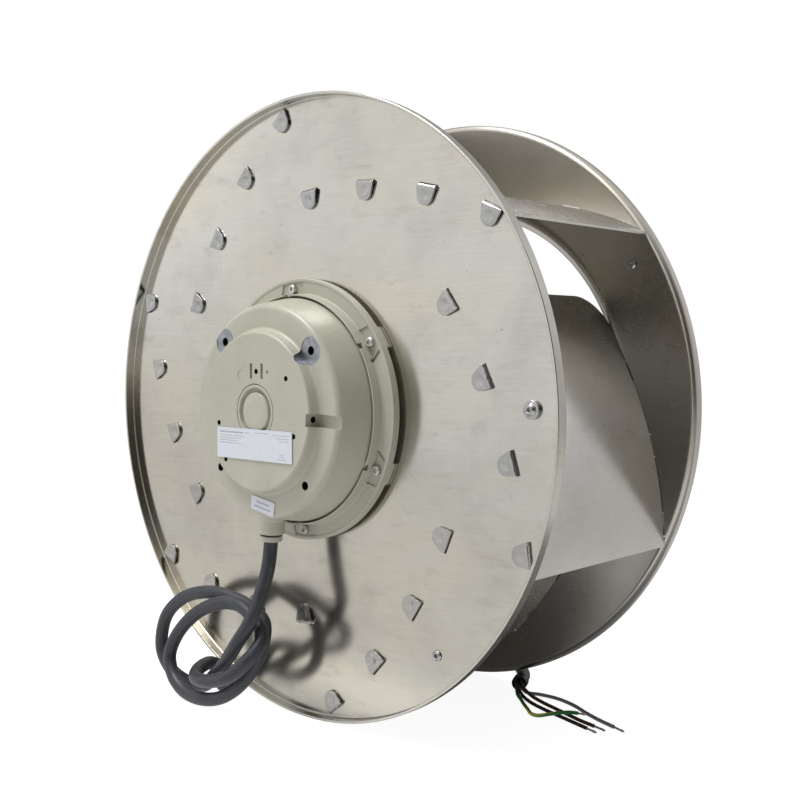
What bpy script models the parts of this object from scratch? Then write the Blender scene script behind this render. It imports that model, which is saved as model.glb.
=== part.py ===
"""Plug fan: a backward-curved wheel driven by an external-rotor motor, in metres, +Z up.

The fan's axis runs along Y. The origin is the middle of the motor's four mounting holes, on its
seat plane; the mounting side faces -Y and the inlet opens towards +Y. Every turned piece is made
in the axis frame, which the empty "fan_axis" turns into place: its +Z points out of the mounting
side, its X is the world's X and its Y is the world's Z, so an angle there reads as it does when
one looks at the motor.
"""

import math

import bmesh
import bpy
from mathutils import Matrix, Vector

MM = 0.001

# Clearances
GAP = 0.3 * MM
SLOT_GAP = 0.4 * MM
RUNNING_GAP = 1.25 * MM
AIR_GAP = 0.7 * MM

# Wheel
RIM_RADIUS = 280 * MM
PLATE_DEPTH = 52 * MM
PLATE_SHEET = 2.5 * MM
SHROUD_SHEET = 2 * MM
RIM_LIP = 12 * MM
RIM_FOLD = 3 * MM
OUTLET_WIDTH = 193.5 * MM
CONE_ANGLE = math.radians(8)
NECK_BEND = 23 * MM
THROAT_RADIUS = 190 * MM
WHEEL_STEPS = 40

# Blades
BLADE_COUNT = 6
BLADE_SHEET = 2 * MM
BLADE_BEND = 418 * MM
BLADE_INLET_RADIUS = 194 * MM
BLADE_INLET_ANGLE = math.radians(91.8)
BLADE_OUTLET_INSET = 2 * MM
BLADE_OUTLET_ANGLE = math.radians(34.3)
BLADE_CORNER = 30 * MM
BLADE_STRIP = 30 * MM
TAB_COUNT = 4
TAB_WIDTH = 20 * MM
TAB_REACH = 16 * MM
TAB_OUTLET_INSET = 19 * MM

# Rotor cup and its flange ring
ROTOR_WALL_RADIUS = 97.7 * MM
ROTOR_WALL = 6 * MM
ROTOR_END_DEPTH = 70 * MM
ROTOR_END_WALL = 8 * MM
MOTOR_STEPS = 32
RING_RADIUS = 117.2 * MM
RING_STAND_OFF = 3.8 * MM
RING_FACE = 10.4 * MM
RING_BEAD = 0.6 * MM
RING_LIP = 19.8 * MM
RING_FLOOR = 3.2 * MM
RING_EDGE = 3.2 * MM
FOOT_HALF_ANGLE = math.radians(5)
FOOT_INSET = 2.25 * MM
NOTCH_LENGTH = 7 * MM
NOTCH_WIDTH = 5.4 * MM
NOTCH_DEPTH = 4.5 * MM

# Rotor screws
SCREW_COUNT = 6
SCREW_FIRST_ANGLE = math.radians(93.9)
SCREW_CIRCLE = 108 * MM
SCREW_RADIUS = 2.5 * MM
SCREW_HEAD_RADIUS = 4.5 * MM
SCREW_HEAD = 3.6 * MM
POCKET_DEPTH = 1.2 * MM
NUT_RADIUS = 5 * MM
NUT_HEIGHT = 4 * MM

# Stator housing
STATOR_TURN = math.radians(-3.8)
PLATEAU_HEIGHT = 10 * MM
PLATEAU_RADIUS = 69.3 * MM
SEAT_RADIUS = 90 * MM
SHOULDER_RUN = 4.6 * MM
PIN_INSET = 19 * MM
PIN_ANGLES = (math.radians(36), math.radians(-166.8))
PIN_RADIUS = 2.1 * MM
SLOT_INSET = 34.3 * MM
SLOT_SPREAD = 14.7 * MM
SLOT_SIZE = (2.3 * MM, 12.4 * MM)
DOME_WALL = 6 * MM
FLANGE_BOTTOM = 8 * MM
HOLE_CIRCLE = 80.6 * MM
HOLE_RADIUS = 3.8 * MM
HOLE_DEPTH = 18 * MM
SPOT_FACE_RADIUS = 12 * MM
SPOT_FACE_DEPTH = 0.4 * MM
CHANNEL_WIDTH = 11 * MM
CHANNEL_DEPTH = 4 * MM

# Bearings and shaft
SHAFT_RADIUS = 10 * MM
BEARING_RADIUS = 23.5 * MM
BEARING_WIDTH = 14 * MM
BEARING_WALL = 3 * MM
BALL_COUNT = 8
BALL_RADIUS = 3.1 * MM
BEARING_SPAN = 79.5 * MM
REAR_BEARING_DEPTH = 5.7 * MM
TUBE_WALL = 6.2 * MM
TUBE_SHOULDER = 2.3 * MM
SPRING_SPACE = 2.2 * MM

# Motor's active parts
CORE_REAR = 50 * MM
CORE_LENGTH = 42 * MM
CORE_TEETH = 12
WINDING_HEIGHT = 13.5 * MM

# End cap and labels
CAP_RADIUS = 24.1 * MM
CAP_THICKNESS = 4.7 * MM
BUTTON_RADIUS = 16.6 * MM
MOAT_RADIUS = 20.4 * MM
LABEL_SHEET = 0.5 * MM
LABEL_SIZE = (100 * MM, 27 * MM)
LABEL_CENTRE = (-1.2 * MM, -28.5 * MM)
SMALL_LABEL_SIZE = (31 * MM, 12.5 * MM)
SMALL_LABEL_OFFSET = 13.5 * MM
SMALL_LABEL_ANGLE = math.radians(-91)
SMALL_LABEL_TURN = math.radians(-9.3)

# Cable and gland
CABLE_RADIUS = 6.3 * MM
BOSS_RADIUS = 12 * MM
BOSS_DEPTH = 14 * MM
BOSS_REACH = 10 * MM
SEAL_THICKNESS = 1.2 * MM
COLLAR_RADIUS = 10.2 * MM
COLLAR_LENGTH = 5 * MM

# Balance rivets: angle, head radius, height of the weight under the head
PLATE_WEIGHTS = ((math.radians(2.1), 8.2 * MM, 3.4 * MM), (math.radians(-51.6), 4.4 * MM, 0.0))
SHROUD_WEIGHT_ANGLE = math.radians(31.3)
WEIGHT_INSET = 29.5 * MM
RIVET_RADIUS = 2.4 * MM

# Cable's free length: points chosen by hand, in millimetres, from the gland to the taped end
CABLE_KNOT = (
    (-8.5, 11, -141), (-11, 4, -165), (-15, -4, -187), (-29, -8, -208), (-49, -6, -230),
    (-72, -1, -248), (-108, 13, -268), (-142, 16, -270), (-169, 18, -263), (-183, 19, -246),
    (-177, 20, -215), (-147, 21, -190), (-108, 22, -179), (-86, 24, -179), (-65, 26, -182),
    (-48, 26, -187), (-31, 25, -196), (-24, 18, -212), (-30, 12, -234), (-43, 5, -253),
    (-66, 1, -268), (-93, -2, -273.7), (-119, -2, -271), (-138, 0, -260), (-147, 3, -244),
    (-141, 6, -226), (-121, 8, -205), (-97, 10, -190), (-74, 11, -182), (-53, 13, -181),
    (-36, 12, -186), (-20, 10, -194), (-11, 5, -204), (-10, -3, -213), (-15, -11, -223),
    (-27, -17, -235), (-46, -20, -243), (-66, -20, -247), (-83, -14, -248), (-93, -2, -245),
    (-95, 11, -243), (-95, 23, -249), (-96, 29, -260), (-101, 32, -269), (-111, 40, -273.7),
)
CABLE_TAIL = (
    (-118, 62, -273.7), (-123, 90, -273.7), (-124, 134, -273.7), (-118, 182, -273.7),
    (-106, 226, -273.7), (-94, 258, -273.7), (-70, 292, -273.7), (-30, 312, -273.7),
    (16, 314, -273.7), (52, 296, -273.7), (73, 279, -273.7), (86, 265, -273.7),
    (93, 253, -273.2), (99.5, 240.5, -272.4),
)
CORE_RADIUS_OUTER = 1.7 * MM
CONDUCTOR_RADIUS = 1 * MM
CORE_ROUTES = {
    "grey": (
        (105.5, 234, -275), (113, 232, -277.6), (127, 237, -278.3), (145, 238, -278.3),
        (168, 232, -278.3), (190, 221, -278.3), (209, 213, -278.3), (227, 207, -278.3),
        (240, 203, -278.4),
    ),
    "green": (
        (102, 231.5, -275.5), (109, 223.5, -278), (121, 213, -278.3), (132, 203, -278.3),
        (143, 194, -278.3), (153, 186, -278.3), (162, 184, -277.4), (171, 190, -275.4),
        (179, 198, -274.2), (185, 204, -274.2), (188, 209, -275.5), (188, 216.8, -278.2),
    ),
    "brown": (
        (106, 233, -270.6), (113, 228.5, -273), (124, 225.5, -277), (140, 220, -278.3),
        (160, 213, -278.3), (178, 207, -278.3), (196, 201, -278.3), (213, 197, -278.3),
        (226, 192, -278.4),
    ),
    "black": (
        (102.5, 231, -270.8), (109, 225, -273.2), (119, 219, -277), (133, 212, -278.3),
        (154, 204, -278.3), (172, 199, -278.3), (190, 194, -278.3), (211, 188, -278.3),
        (223, 183, -278.4),
    ),
}
CORE_COLOURS = {
    "grey": (0.16, 0.165, 0.18),
    "green": (0.1, 0.3, 0.08),
    "brown": (0.07, 0.03, 0.035),
    "black": (0.02, 0.02, 0.022),
}
CORE_SPREAD = 2.05 * MM
TAPE_THICKNESS = 0.8 * MM
TAPE_BEFORE_END = 8 * MM
TAPE_BEYOND_END = 6 * MM

# Values that follow from the ones above
PLATE_Z = -PLATE_DEPTH
PLATE_BACK_Z = PLATE_Z - PLATE_SHEET
SHROUD_RIM_Z = PLATE_BACK_Z - OUTLET_WIDTH
CONE_OUTER_RADIUS = RIM_RADIUS - SHROUD_SHEET
NECK_CENTRE_RADIUS = THROAT_RADIUS + NECK_BEND
NECK_START_RADIUS = NECK_CENTRE_RADIUS - NECK_BEND * math.sin(CONE_ANGLE)
NECK_CENTRE_Z = (
    SHROUD_RIM_Z
    - (CONE_OUTER_RADIUS - NECK_START_RADIUS) * math.tan(CONE_ANGLE)
    - NECK_BEND * math.cos(CONE_ANGLE)
)
RING_BASE_Z = PLATE_Z + RING_STAND_OFF
RING_FACE_Z = PLATE_Z + RING_FACE
RING_LIP_Z = PLATE_Z + RING_LIP
RING_FLOOR_Z = RING_BASE_Z + RING_FLOOR
ROTOR_END_Z = PLATE_Z - ROTOR_END_DEPTH
STATOR_RADIUS = ROTOR_WALL_RADIUS + 1.8 * MM
RING_INNER_RADIUS = STATOR_RADIUS + RUNNING_GAP
ROTOR_INNER_RADIUS = ROTOR_WALL_RADIUS - ROTOR_WALL
TUBE_BORE = BEARING_RADIUS + GAP
TUBE_RADIUS = TUBE_BORE + TUBE_WALL
REAR_BEARING_Z = -REAR_BEARING_DEPTH
FRONT_BEARING_Z = REAR_BEARING_Z - BEARING_SPAN
REAR_SHOULDER_Z = REAR_BEARING_Z - BEARING_WIDTH - GAP
FRONT_SHOULDER_Z = FRONT_BEARING_Z + SPRING_SPACE
TUBE_END_Z = FRONT_BEARING_Z - BEARING_WIDTH - GAP
ROTOR_CORE_INNER = ROTOR_INNER_RADIUS - GAP - 5.4 * MM
CORE_RADIUS = ROTOR_CORE_INNER - AIR_GAP
CORE_FRONT_Z = -CORE_REAR - CORE_LENGTH
CABLE_BORE = CABLE_RADIUS + GAP
BOSS_ANGLE = STATOR_TURN - math.pi / 2
WEIGHT_CIRCLE = RIM_RADIUS - WEIGHT_INSET
SMALL_LABEL_RADIUS = PLATEAU_RADIUS + SMALL_LABEL_OFFSET
BOSS_END = max(STATOR_RADIUS, SEAT_RADIUS + SHOULDER_RUN) + BOSS_REACH
EXIT_RADIUS = BOSS_END + GAP + SEAL_THICKNESS + GAP + COLLAR_LENGTH


def blade_arc():
    """Centre of the blade's arc and its angles at the inlet and outlet edges, for blade 1."""
    outlet_radius = RIM_RADIUS - BLADE_OUTLET_INSET
    inlet = Vector((math.cos(BLADE_INLET_ANGLE), math.sin(BLADE_INLET_ANGLE))) * BLADE_INLET_RADIUS
    outlet = Vector((math.cos(BLADE_OUTLET_ANGLE), math.sin(BLADE_OUTLET_ANGLE))) * outlet_radius
    chord = outlet - inlet
    rise = math.sqrt(BLADE_BEND**2 - (chord.length / 2) ** 2)
    centre = (inlet + outlet) / 2 + Vector((chord.y, -chord.x)).normalized() * rise
    first, last = inlet - centre, outlet - centre
    return centre, math.atan2(first.y, first.x), math.atan2(last.y, last.x)


BLADE_CENTRE, BLADE_FIRST, BLADE_LAST = blade_arc()
BLADE_LENGTH = (BLADE_FIRST - BLADE_LAST) * BLADE_BEND
TAB_PITCH = (BLADE_LENGTH - TAB_OUTLET_INSET - TAB_WIDTH / 2) / (TAB_COUNT - 1)
TAB_PLACES = [TAB_WIDTH / 2 + TAB_PITCH * i for i in range(TAB_COUNT)]


# Scene and materials


def clear_scene():
    """Empties the startup scene and sets metres."""
    for obj in list(bpy.data.objects):
        bpy.data.objects.remove(obj, do_unlink=True)
    bpy.context.scene.unit_settings.system = "METRIC"
    bpy.context.scene.unit_settings.scale_length = 1.0


def collection(name, hidden=False):
    """A new collection in the scene; the hidden one holds cutters."""
    made = bpy.data.collections.new(name)
    made.hide_render = hidden
    bpy.context.scene.collection.children.link(made)
    return made


def material(name, colour, metallic=0.0, roughness=0.5):
    made = bpy.data.materials.new(name)
    made.use_nodes = True
    shader = made.node_tree.nodes["Principled BSDF"]
    shader.inputs["Base Color"].default_value = (*colour, 1.0)
    shader.inputs["Metallic"].default_value = metallic
    shader.inputs["Roughness"].default_value = roughness
    return made


def empty(name, parent=None, rotation=(0, 0, 0)):
    made = bpy.data.objects.new(name, None)
    made.empty_display_size = 0.05
    made.parent = parent
    made.rotation_euler = rotation
    PART.objects.link(made)
    return made


clear_scene()
PART = collection("plug_fan")
CUTTERS = collection("cutters", hidden=True)
AXIS = empty("fan_axis", rotation=(math.pi / 2, 0, 0))
WHEEL_AXIS = empty("wheel_axis", AXIS)
CABLE_ROOT = empty("cable_root")
SHEET_METAL = ((0.72, 0.71, 0.68), 1.0, 0.25)
CASTING = ((0.48, 0.47, 0.39), 0.0, 0.45)
STEEL = ((0.6, 0.6, 0.62), 1.0, 0.3)
LAMINATION = ((0.2, 0.2, 0.21), 0.8, 0.5)


# Building blocks


def from_bmesh(name, mesh):
    """An object in the cutter collection holding the closed mesh, with its faces outward."""
    bmesh.ops.recalc_face_normals(mesh, faces=mesh.faces)
    data = bpy.data.meshes.new(name)
    mesh.to_mesh(data)
    mesh.free()
    made = bpy.data.objects.new(name, data)
    made.display_type = "WIRE"
    made.hide_render = True
    made.parent = AXIS
    CUTTERS.objects.link(made)
    return made


def prism(name, outline, low, high):
    """A closed prism over a polygon in X and Y, between two heights or functions of (x, y)."""
    mesh = bmesh.new()
    heights = [value if callable(value) else lambda x, y, fixed=value: fixed for value in (low, high)]
    rings = [[mesh.verts.new((x, y, height(x, y))) for x, y in outline] for height in heights]
    mesh.faces.new(reversed(rings[0]))
    mesh.faces.new(rings[1])
    for i in range(len(outline)):
        j = (i + 1) % len(outline)
        mesh.faces.new((rings[0][i], rings[0][j], rings[1][j], rings[1][i]))
    return from_bmesh(name, mesh)


def joined(name, objects):
    """One cutter made of several closed meshes."""
    mesh = bmesh.new()
    for obj in objects:
        piece = obj.data.copy()
        piece.transform(obj.matrix_basis)
        mesh.from_mesh(piece)
        bpy.data.meshes.remove(piece)
        bpy.data.objects.remove(obj, do_unlink=True)
    return from_bmesh(name, mesh)


def baked_mesh(obj):
    """The object's mesh with its modifiers applied, smooth except at sharp edges."""
    bpy.context.view_layer.update()
    graph = bpy.context.evaluated_depsgraph_get()
    data = bpy.data.meshes.new_from_object(obj.evaluated_get(graph))
    mesh = bmesh.new()
    mesh.from_mesh(data)
    bmesh.ops.remove_doubles(mesh, verts=mesh.verts, dist=2e-6)
    bmesh.ops.dissolve_degenerate(mesh, edges=mesh.edges, dist=2e-6)
    bmesh.ops.recalc_face_normals(mesh, faces=mesh.faces)
    mesh.to_mesh(data)
    mesh.free()
    data.shade_smooth()
    data.set_sharp_from_angle(angle=math.radians(32))
    return data


def boolean(obj, other, operation="DIFFERENCE"):
    """Adds a Boolean with one cutter."""
    modifier = obj.modifiers.new(operation.lower(), "BOOLEAN")
    modifier.solver = "EXACT"
    modifier.operation = operation
    modifier.object = other


def lathe(name, profile, steps=48):
    """A solid turned about Z from a closed profile of (radius, z) points."""
    turn = sum(a[0] * b[1] - b[0] * a[1] for a, b in zip(profile, profile[1:] + profile[:1]))
    points = profile if turn < 0 else profile[::-1]
    data = bpy.data.meshes.new(name)
    count = len(points)
    edges = [(i, (i + 1) % count) for i in range(count)]
    data.from_pydata([(r, 0.0, z) for r, z in points], edges, [])
    made = bpy.data.objects.new(name, data)
    made.display_type = "WIRE"
    made.hide_render = True
    made.parent = AXIS
    CUTTERS.objects.link(made)
    screw = made.modifiers.new("turn", "SCREW")
    screw.axis = "Z"
    screw.steps = screw.render_steps = steps
    screw.use_merge_vertices = True
    screw.merge_threshold = 1e-6
    screw.use_smooth_shade = True
    return made


def node(name, source, surface, parent=None, turn=0.0, data=None):
    """Bakes a source object into a part of the fan, with its own material."""
    mesh = data.copy() if data else baked_mesh(source)
    mesh.name = name
    mesh.materials.clear()
    mesh.materials.append(material(name, *surface))
    made = bpy.data.objects.new(name, mesh)
    made.parent = parent or AXIS
    made.rotation_euler = (0, 0, turn)
    PART.objects.link(made)
    return made


def polar(radius, angle):
    return radius * math.cos(angle), radius * math.sin(angle)


def disc(radius, steps=16):
    """Outline of a circle about the origin."""
    return [polar(radius, 2 * math.pi * i / steps) for i in range(steps)]


def shifted(outline, x, y, turn=0.0):
    """The outline turned about its own origin, then moved."""
    cos, sin = math.cos(turn), math.sin(turn)
    return [(x + u * cos - v * sin, y + u * sin + v * cos) for u, v in outline]


def rectangle(width, height):
    return [
        (-width / 2, -height / 2),
        (width / 2, -height / 2),
        (width / 2, height / 2),
        (-width / 2, height / 2),
    ]


def column(name, radius, angle, hole, low, high, steps=16):
    """A round prism at a polar place in the axis frame."""
    return prism(name, shifted(disc(hole, steps), *polar(radius, angle)), low, high)


def arc(centre_radius, centre_z, bend, start, end, count):
    """Profile points on a circle, from one angle to the other."""
    angles = [start + (end - start) * i / (count - 1) for i in range(count)]
    return [(centre_radius + bend * math.cos(a), centre_z + bend * math.sin(a)) for a in angles]


# Wheel


def shroud_inner_z(radius):
    """Height of the shroud's face towards the blades."""
    if radius >= NECK_START_RADIUS:
        return SHROUD_RIM_Z - (CONE_OUTER_RADIUS - radius) * math.tan(CONE_ANGLE)
    reach = min(max(NECK_CENTRE_RADIUS - radius, 0.0), NECK_BEND)
    return NECK_CENTRE_Z + math.sqrt(NECK_BEND**2 - reach**2)


def shroud_outer_z(radius):
    """Height of the shroud's face on the inlet side, along its cone."""
    return SHROUD_RIM_Z - (CONE_OUTER_RADIUS - radius) * math.tan(CONE_ANGLE) - SHROUD_SHEET / math.cos(
        CONE_ANGLE
    )


def blade_point(place):
    """Point, tangent and outward normal at a length along the blade from its inlet edge."""
    angle = BLADE_FIRST - place / BLADE_BEND
    normal = Vector((math.cos(angle), math.sin(angle)))
    return BLADE_CENTRE + normal * BLADE_BEND, Vector((normal.y, -normal.x)), normal


def slot_cutter(name, places, low, high):
    """Slots for every blade's tabs at the given places."""
    outline = rectangle(TAB_WIDTH + 2 * SLOT_GAP, BLADE_SHEET + 2 * SLOT_GAP)
    slots = []
    for blade in range(BLADE_COUNT):
        for place in places:
            point, tangent, _ = blade_point(place)
            turn = -2 * math.pi * blade / BLADE_COUNT
            where = Matrix.Rotation(turn, 2) @ point
            lean = math.atan2(tangent.y, tangent.x) + turn
            slots.append(prism("slot", shifted(outline, *where, lean), low, high))
    return joined(name, slots)


def build_back_plate():
    """Back plate with its edge lip towards the motor."""
    crest = PLATE_Z + RIM_LIP
    inner = RIM_RADIUS - PLATE_SHEET
    hub_hole = ROTOR_WALL_RADIUS + 2 * GAP
    profile = [
        (hub_hole, PLATE_Z),
        (inner - RIM_FOLD / 2, PLATE_Z),
        (inner, PLATE_Z + RIM_FOLD / 2),
        (inner, crest),
        (RIM_RADIUS, crest),
    ]
    profile += arc(RIM_RADIUS - RIM_FOLD, PLATE_BACK_Z + RIM_FOLD, RIM_FOLD, 0, -math.pi / 2, 3)
    profile.append((hub_hole, PLATE_BACK_Z))
    plate = lathe("plate_blank", profile, WHEEL_STEPS)
    low, high = PLATE_BACK_Z - 2 * MM, PLATE_Z + 2 * MM
    boolean(plate, slot_cutter("plate_slots", TAB_PLACES, low, high))
    holes = [
        column("hole", SCREW_CIRCLE, angle, SCREW_RADIUS + SLOT_GAP, low, high, 12)
        for angle in screw_angles()
    ]
    holes += [
        column("hole", WEIGHT_CIRCLE, angle, RIVET_RADIUS + GAP, low, high, 12)
        for angle, _, _ in PLATE_WEIGHTS
    ]
    boolean(plate, joined("plate_holes", holes))
    node("back_plate", plate, SHEET_METAL, WHEEL_AXIS)


def build_shroud():
    """Dished front shroud with its edge lip and throat."""
    crest = SHROUD_RIM_Z - RIM_LIP
    inner = RIM_RADIUS - SHROUD_SHEET
    tangent = math.pi / 2 + CONE_ANGLE
    profile = arc(NECK_CENTRE_RADIUS, NECK_CENTRE_Z, NECK_BEND, tangent, math.pi, 5)
    profile += arc(
        NECK_CENTRE_RADIUS, NECK_CENTRE_Z, NECK_BEND - SHROUD_SHEET, math.pi, tangent, 5
    )
    profile += [
        (inner - RIM_FOLD / 2, shroud_outer_z(inner - RIM_FOLD / 2)),
        (inner, SHROUD_RIM_Z - RIM_FOLD),
        (inner, crest),
        (RIM_RADIUS, crest),
    ]
    profile += arc(RIM_RADIUS - RIM_FOLD, SHROUD_RIM_Z - RIM_FOLD, RIM_FOLD, 0, math.pi / 2, 3)
    shroud = lathe("shroud_blank", profile, WHEEL_STEPS)
    low, high = NECK_CENTRE_Z, SHROUD_RIM_Z + 8 * MM
    boolean(shroud, slot_cutter("shroud_slots", TAB_PLACES[1:], low, high))
    hole = column("rivet_hole", WEIGHT_CIRCLE, SHROUD_WEIGHT_ANGLE, RIVET_RADIUS + GAP, low, high, 12)
    boolean(shroud, hole)
    node("front_shroud", shroud, SHEET_METAL, WHEEL_AXIS)


def blade_breaks():
    """Lengths along the blade where its outline changes or its arc is divided."""
    edges = {0.0, BLADE_LENGTH}
    edges |= {place + side * TAB_WIDTH / 2 for place in TAB_PLACES for side in (-1, 1)}
    edges |= {BLADE_CORNER * (1 - math.cos(math.radians(angle))) for angle in (25, 50, 72, 90)}
    edges = sorted(round(edge, 7) for edge in edges)
    merged = [edges[0]]
    for edge in edges[1:]:
        if edge - merged[-1] > 0.05 * MM:
            merged.append(edge)
    divided = [merged[0]]
    for edge in merged[1:]:
        parts = math.ceil((edge - divided[-1]) / BLADE_STRIP - 1e-6)
        start = divided[-1]
        divided += [start + (edge - start) * (i + 1) / parts for i in range(parts)]
    return divided


def blade_front_z(place):
    """Height of the blade's edge along the shroud, with the round corner at the inlet."""
    reach = max(place, BLADE_CORNER)
    radius = blade_point(reach)[0].length + BLADE_SHEET / 2
    edge = shroud_inner_z(radius) + GAP + 0.15 * MM
    if place < BLADE_CORNER:
        edge += BLADE_CORNER - math.sqrt(BLADE_CORNER**2 - (BLADE_CORNER - place) ** 2)
    return edge


def blade_sheet():
    """The curved sheet with its tabs' webs, as one closed mesh of upright strips."""
    breaks = blade_breaks()
    plate_edge = PLATE_BACK_Z - GAP
    web_back = PLATE_Z + GAP + 0.7 * BLADE_SHEET

    def tab_at(place, places):
        return any(abs(place - other) < TAB_WIDTH / 2 for other in places)

    def web_front(place):
        return shroud_outer_z(blade_point(place)[0].length) - GAP - 0.7 * BLADE_SHEET

    strips = []
    for start, end in zip(breaks, breaks[1:]):
        middle = (start + end) / 2
        top = web_back if tab_at(middle, TAB_PLACES) else plate_edge
        fronts = [blade_front_z(start), blade_front_z(end)]
        for place in TAB_PLACES[1:]:
            if abs(middle - place) < TAB_WIDTH / 2:
                fronts = [web_front(place)] * 2
        strips.append((top, fronts))
    levels = []
    for i in range(len(breaks)):
        found = set()
        if i > 0:
            found |= {strips[i - 1][0], strips[i - 1][1][1]}
        if i < len(strips):
            found |= {strips[i][0], strips[i][1][0]}
        levels.append(sorted(found))
    mesh = bmesh.new()
    verts = {}
    for i, place in enumerate(breaks):
        point, _, normal = blade_point(place)
        for side in (-1, 1):
            x, y = point + normal * side * BLADE_SHEET / 2
            for z in levels[i]:
                verts[i, side, z] = mesh.verts.new((x, y, z))
    for i, (top, (low_a, low_b)) in enumerate(strips):
        left = [z for z in levels[i] if low_a <= z <= top]
        right = [z for z in levels[i + 1] if low_b <= z <= top]
        for side in (-1, 1):
            face = [verts[i, side, z] for z in left] + [verts[i + 1, side, z] for z in reversed(right)]
            mesh.faces.new(face)
        for z_a, z_b in ((top, top), (low_a, low_b)):
            mesh.faces.new(
                (verts[i, -1, z_a], verts[i + 1, -1, z_b], verts[i + 1, 1, z_b], verts[i, 1, z_a])
            )
    for i, heights in enumerate(levels):
        for low, high in zip(heights, heights[1:]):
            middle = (low + high) / 2
            on_left = i > 0 and strips[i - 1][1][1] < middle < strips[i - 1][0]
            on_right = i < len(strips) and strips[i][1][0] < middle < strips[i][0]
            if on_left != on_right:
                mesh.faces.new(
                    (verts[i, -1, low], verts[i, -1, high], verts[i, 1, high], verts[i, 1, low])
                )
    return from_bmesh("blade_sheet", mesh)


def flap_outline(place, inward=True):
    """Outline of a bent tab: straight along the fold, rounded at its free end."""
    half, heel = TAB_WIDTH / 2, BLADE_SHEET / 2 + 0.4 * MM
    shoulder = TAB_REACH - 0.75 * TAB_WIDTH / 2
    end = [
        (half * 0.82 * math.cos(a), shoulder + (TAB_REACH - shoulder) * math.sin(a))
        for a in (math.radians(step) for step in (20, 65, 115, 160))
    ]
    outline = [(-half, -heel), (half, -heel), (half, BLADE_SHEET)] + end + [(-half, BLADE_SHEET)]
    point, tangent, normal = blade_point(place)
    across = -normal if inward else normal
    return [tuple(point + tangent * u + across * v) for u, v in outline]


def build_blades():
    """Six blades from one mesh, with the tabs bent over the plate and the shroud."""
    sheet = blade_sheet()
    low, high = PLATE_Z + GAP, PLATE_Z + GAP + BLADE_SHEET
    flaps = [prism("flap", flap_outline(place), low, high) for place in TAB_PLACES]

    def face_z(offset):
        return lambda x, y: shroud_outer_z(math.hypot(x, y)) - offset

    for place in TAB_PLACES[1:]:
        outline = flap_outline(place, inward=place != TAB_PLACES[1])
        flaps.append(prism("flap", outline, face_z(GAP + BLADE_SHEET), face_z(GAP)))
    boolean(sheet, joined("blade_flaps", flaps), "UNION")
    data = baked_mesh(sheet)
    for i in range(BLADE_COUNT):
        turn = -2 * math.pi * i / BLADE_COUNT
        node(f"blade_{i + 1}", None, SHEET_METAL, WHEEL_AXIS, turn, data)


def rivet(name, base, weight, head, direction, place, grip):
    """A blind rivet through a sheet, with a round weight under its head where there is one."""
    top = weight + (3 * MM if weight else 2.2 * MM)
    profile = [
        (head, GAP),
        (head, GAP + max(weight, 1.2 * MM)),
        (head * 0.7, top),
        (RIVET_RADIUS * 0.55, top),
        (RIVET_RADIUS * 0.55, top - 1.6 * MM),
        (0, top - 1.6 * MM),
        (0, -grip - 4 * MM),
        (RIVET_RADIUS, -grip - 4 * MM),
        (RIVET_RADIUS * 1.35, -grip - GAP),
        (RIVET_RADIUS, -grip - GAP),
        (RIVET_RADIUS, GAP),
    ]
    if direction < 0:
        profile = [(r, -z) for r, z in profile]
    made = lathe(name + "_blank", profile, 14)
    made.modifiers["turn"].merge_threshold = 1e-5
    data = baked_mesh(made)
    data.transform(Matrix.Translation((*place, base)))
    return node(name, None, STEEL, WHEEL_AXIS, data=data)


def build_weights():
    """Balance rivets on the plate and the shroud."""
    for i, (angle, head, weight) in enumerate(PLATE_WEIGHTS):
        place = polar(WEIGHT_CIRCLE, angle)
        rivet(f"balance_rivet_{i + 1}", PLATE_Z, weight, head, 1, place, PLATE_SHEET)
    place = polar(WEIGHT_CIRCLE, SHROUD_WEIGHT_ANGLE)
    slope = RIVET_RADIUS * 2 * math.tan(CONE_ANGLE)
    base = shroud_inner_z(WEIGHT_CIRCLE) + slope
    rivet("shroud_rivet", base, 0.0, 4.2 * MM, 1, place, SHROUD_SHEET + 2 * slope)


# Rotor


def screw_angles():
    return [SCREW_FIRST_ANGLE - 2 * math.pi * i / SCREW_COUNT for i in range(SCREW_COUNT)]


def sector(inner, outer, middle, half_inner, half_outer=None, steps=4):
    """Outline of a piece of a ring about an angle; its half angles may differ."""
    half_outer = half_inner if half_outer is None else half_outer
    turns = [-1 + 2 * i / (steps - 1) for i in range(steps)]
    near = [polar(inner, middle + half_inner * t) for t in turns]
    far = [polar(outer, middle + half_outer * t) for t in turns]
    return near + far[::-1]


def build_rotor_housing():
    """Turned rotor cup with its hub."""
    hub_outer = 22 * MM
    bore = SHAFT_RADIUS + GAP
    nose = SHAFT_RADIUS + GAP + BEARING_WALL
    end_inner = ROTOR_END_Z + ROTOR_END_WALL
    profile = [
        (ROTOR_WALL_RADIUS, RING_FLOOR_Z),
        (ROTOR_WALL_RADIUS, ROTOR_END_Z + 12 * MM),
        (ROTOR_WALL_RADIUS - 10 * MM, ROTOR_END_Z),
        (hub_outer, ROTOR_END_Z),
        (hub_outer, ROTOR_END_Z - 8 * MM),
        (bore, ROTOR_END_Z - 8 * MM),
        (bore, TUBE_END_Z),
        (nose, TUBE_END_Z),
        (nose, end_inner),
        (ROTOR_INNER_RADIUS - 5 * MM, end_inner),
        (ROTOR_INNER_RADIUS, end_inner + 5 * MM),
        (ROTOR_INNER_RADIUS, RING_FLOOR_Z),
    ]
    node("rotor_housing", lathe("rotor_blank", profile, MOTOR_STEPS), CASTING, WHEEL_AXIS)


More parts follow.
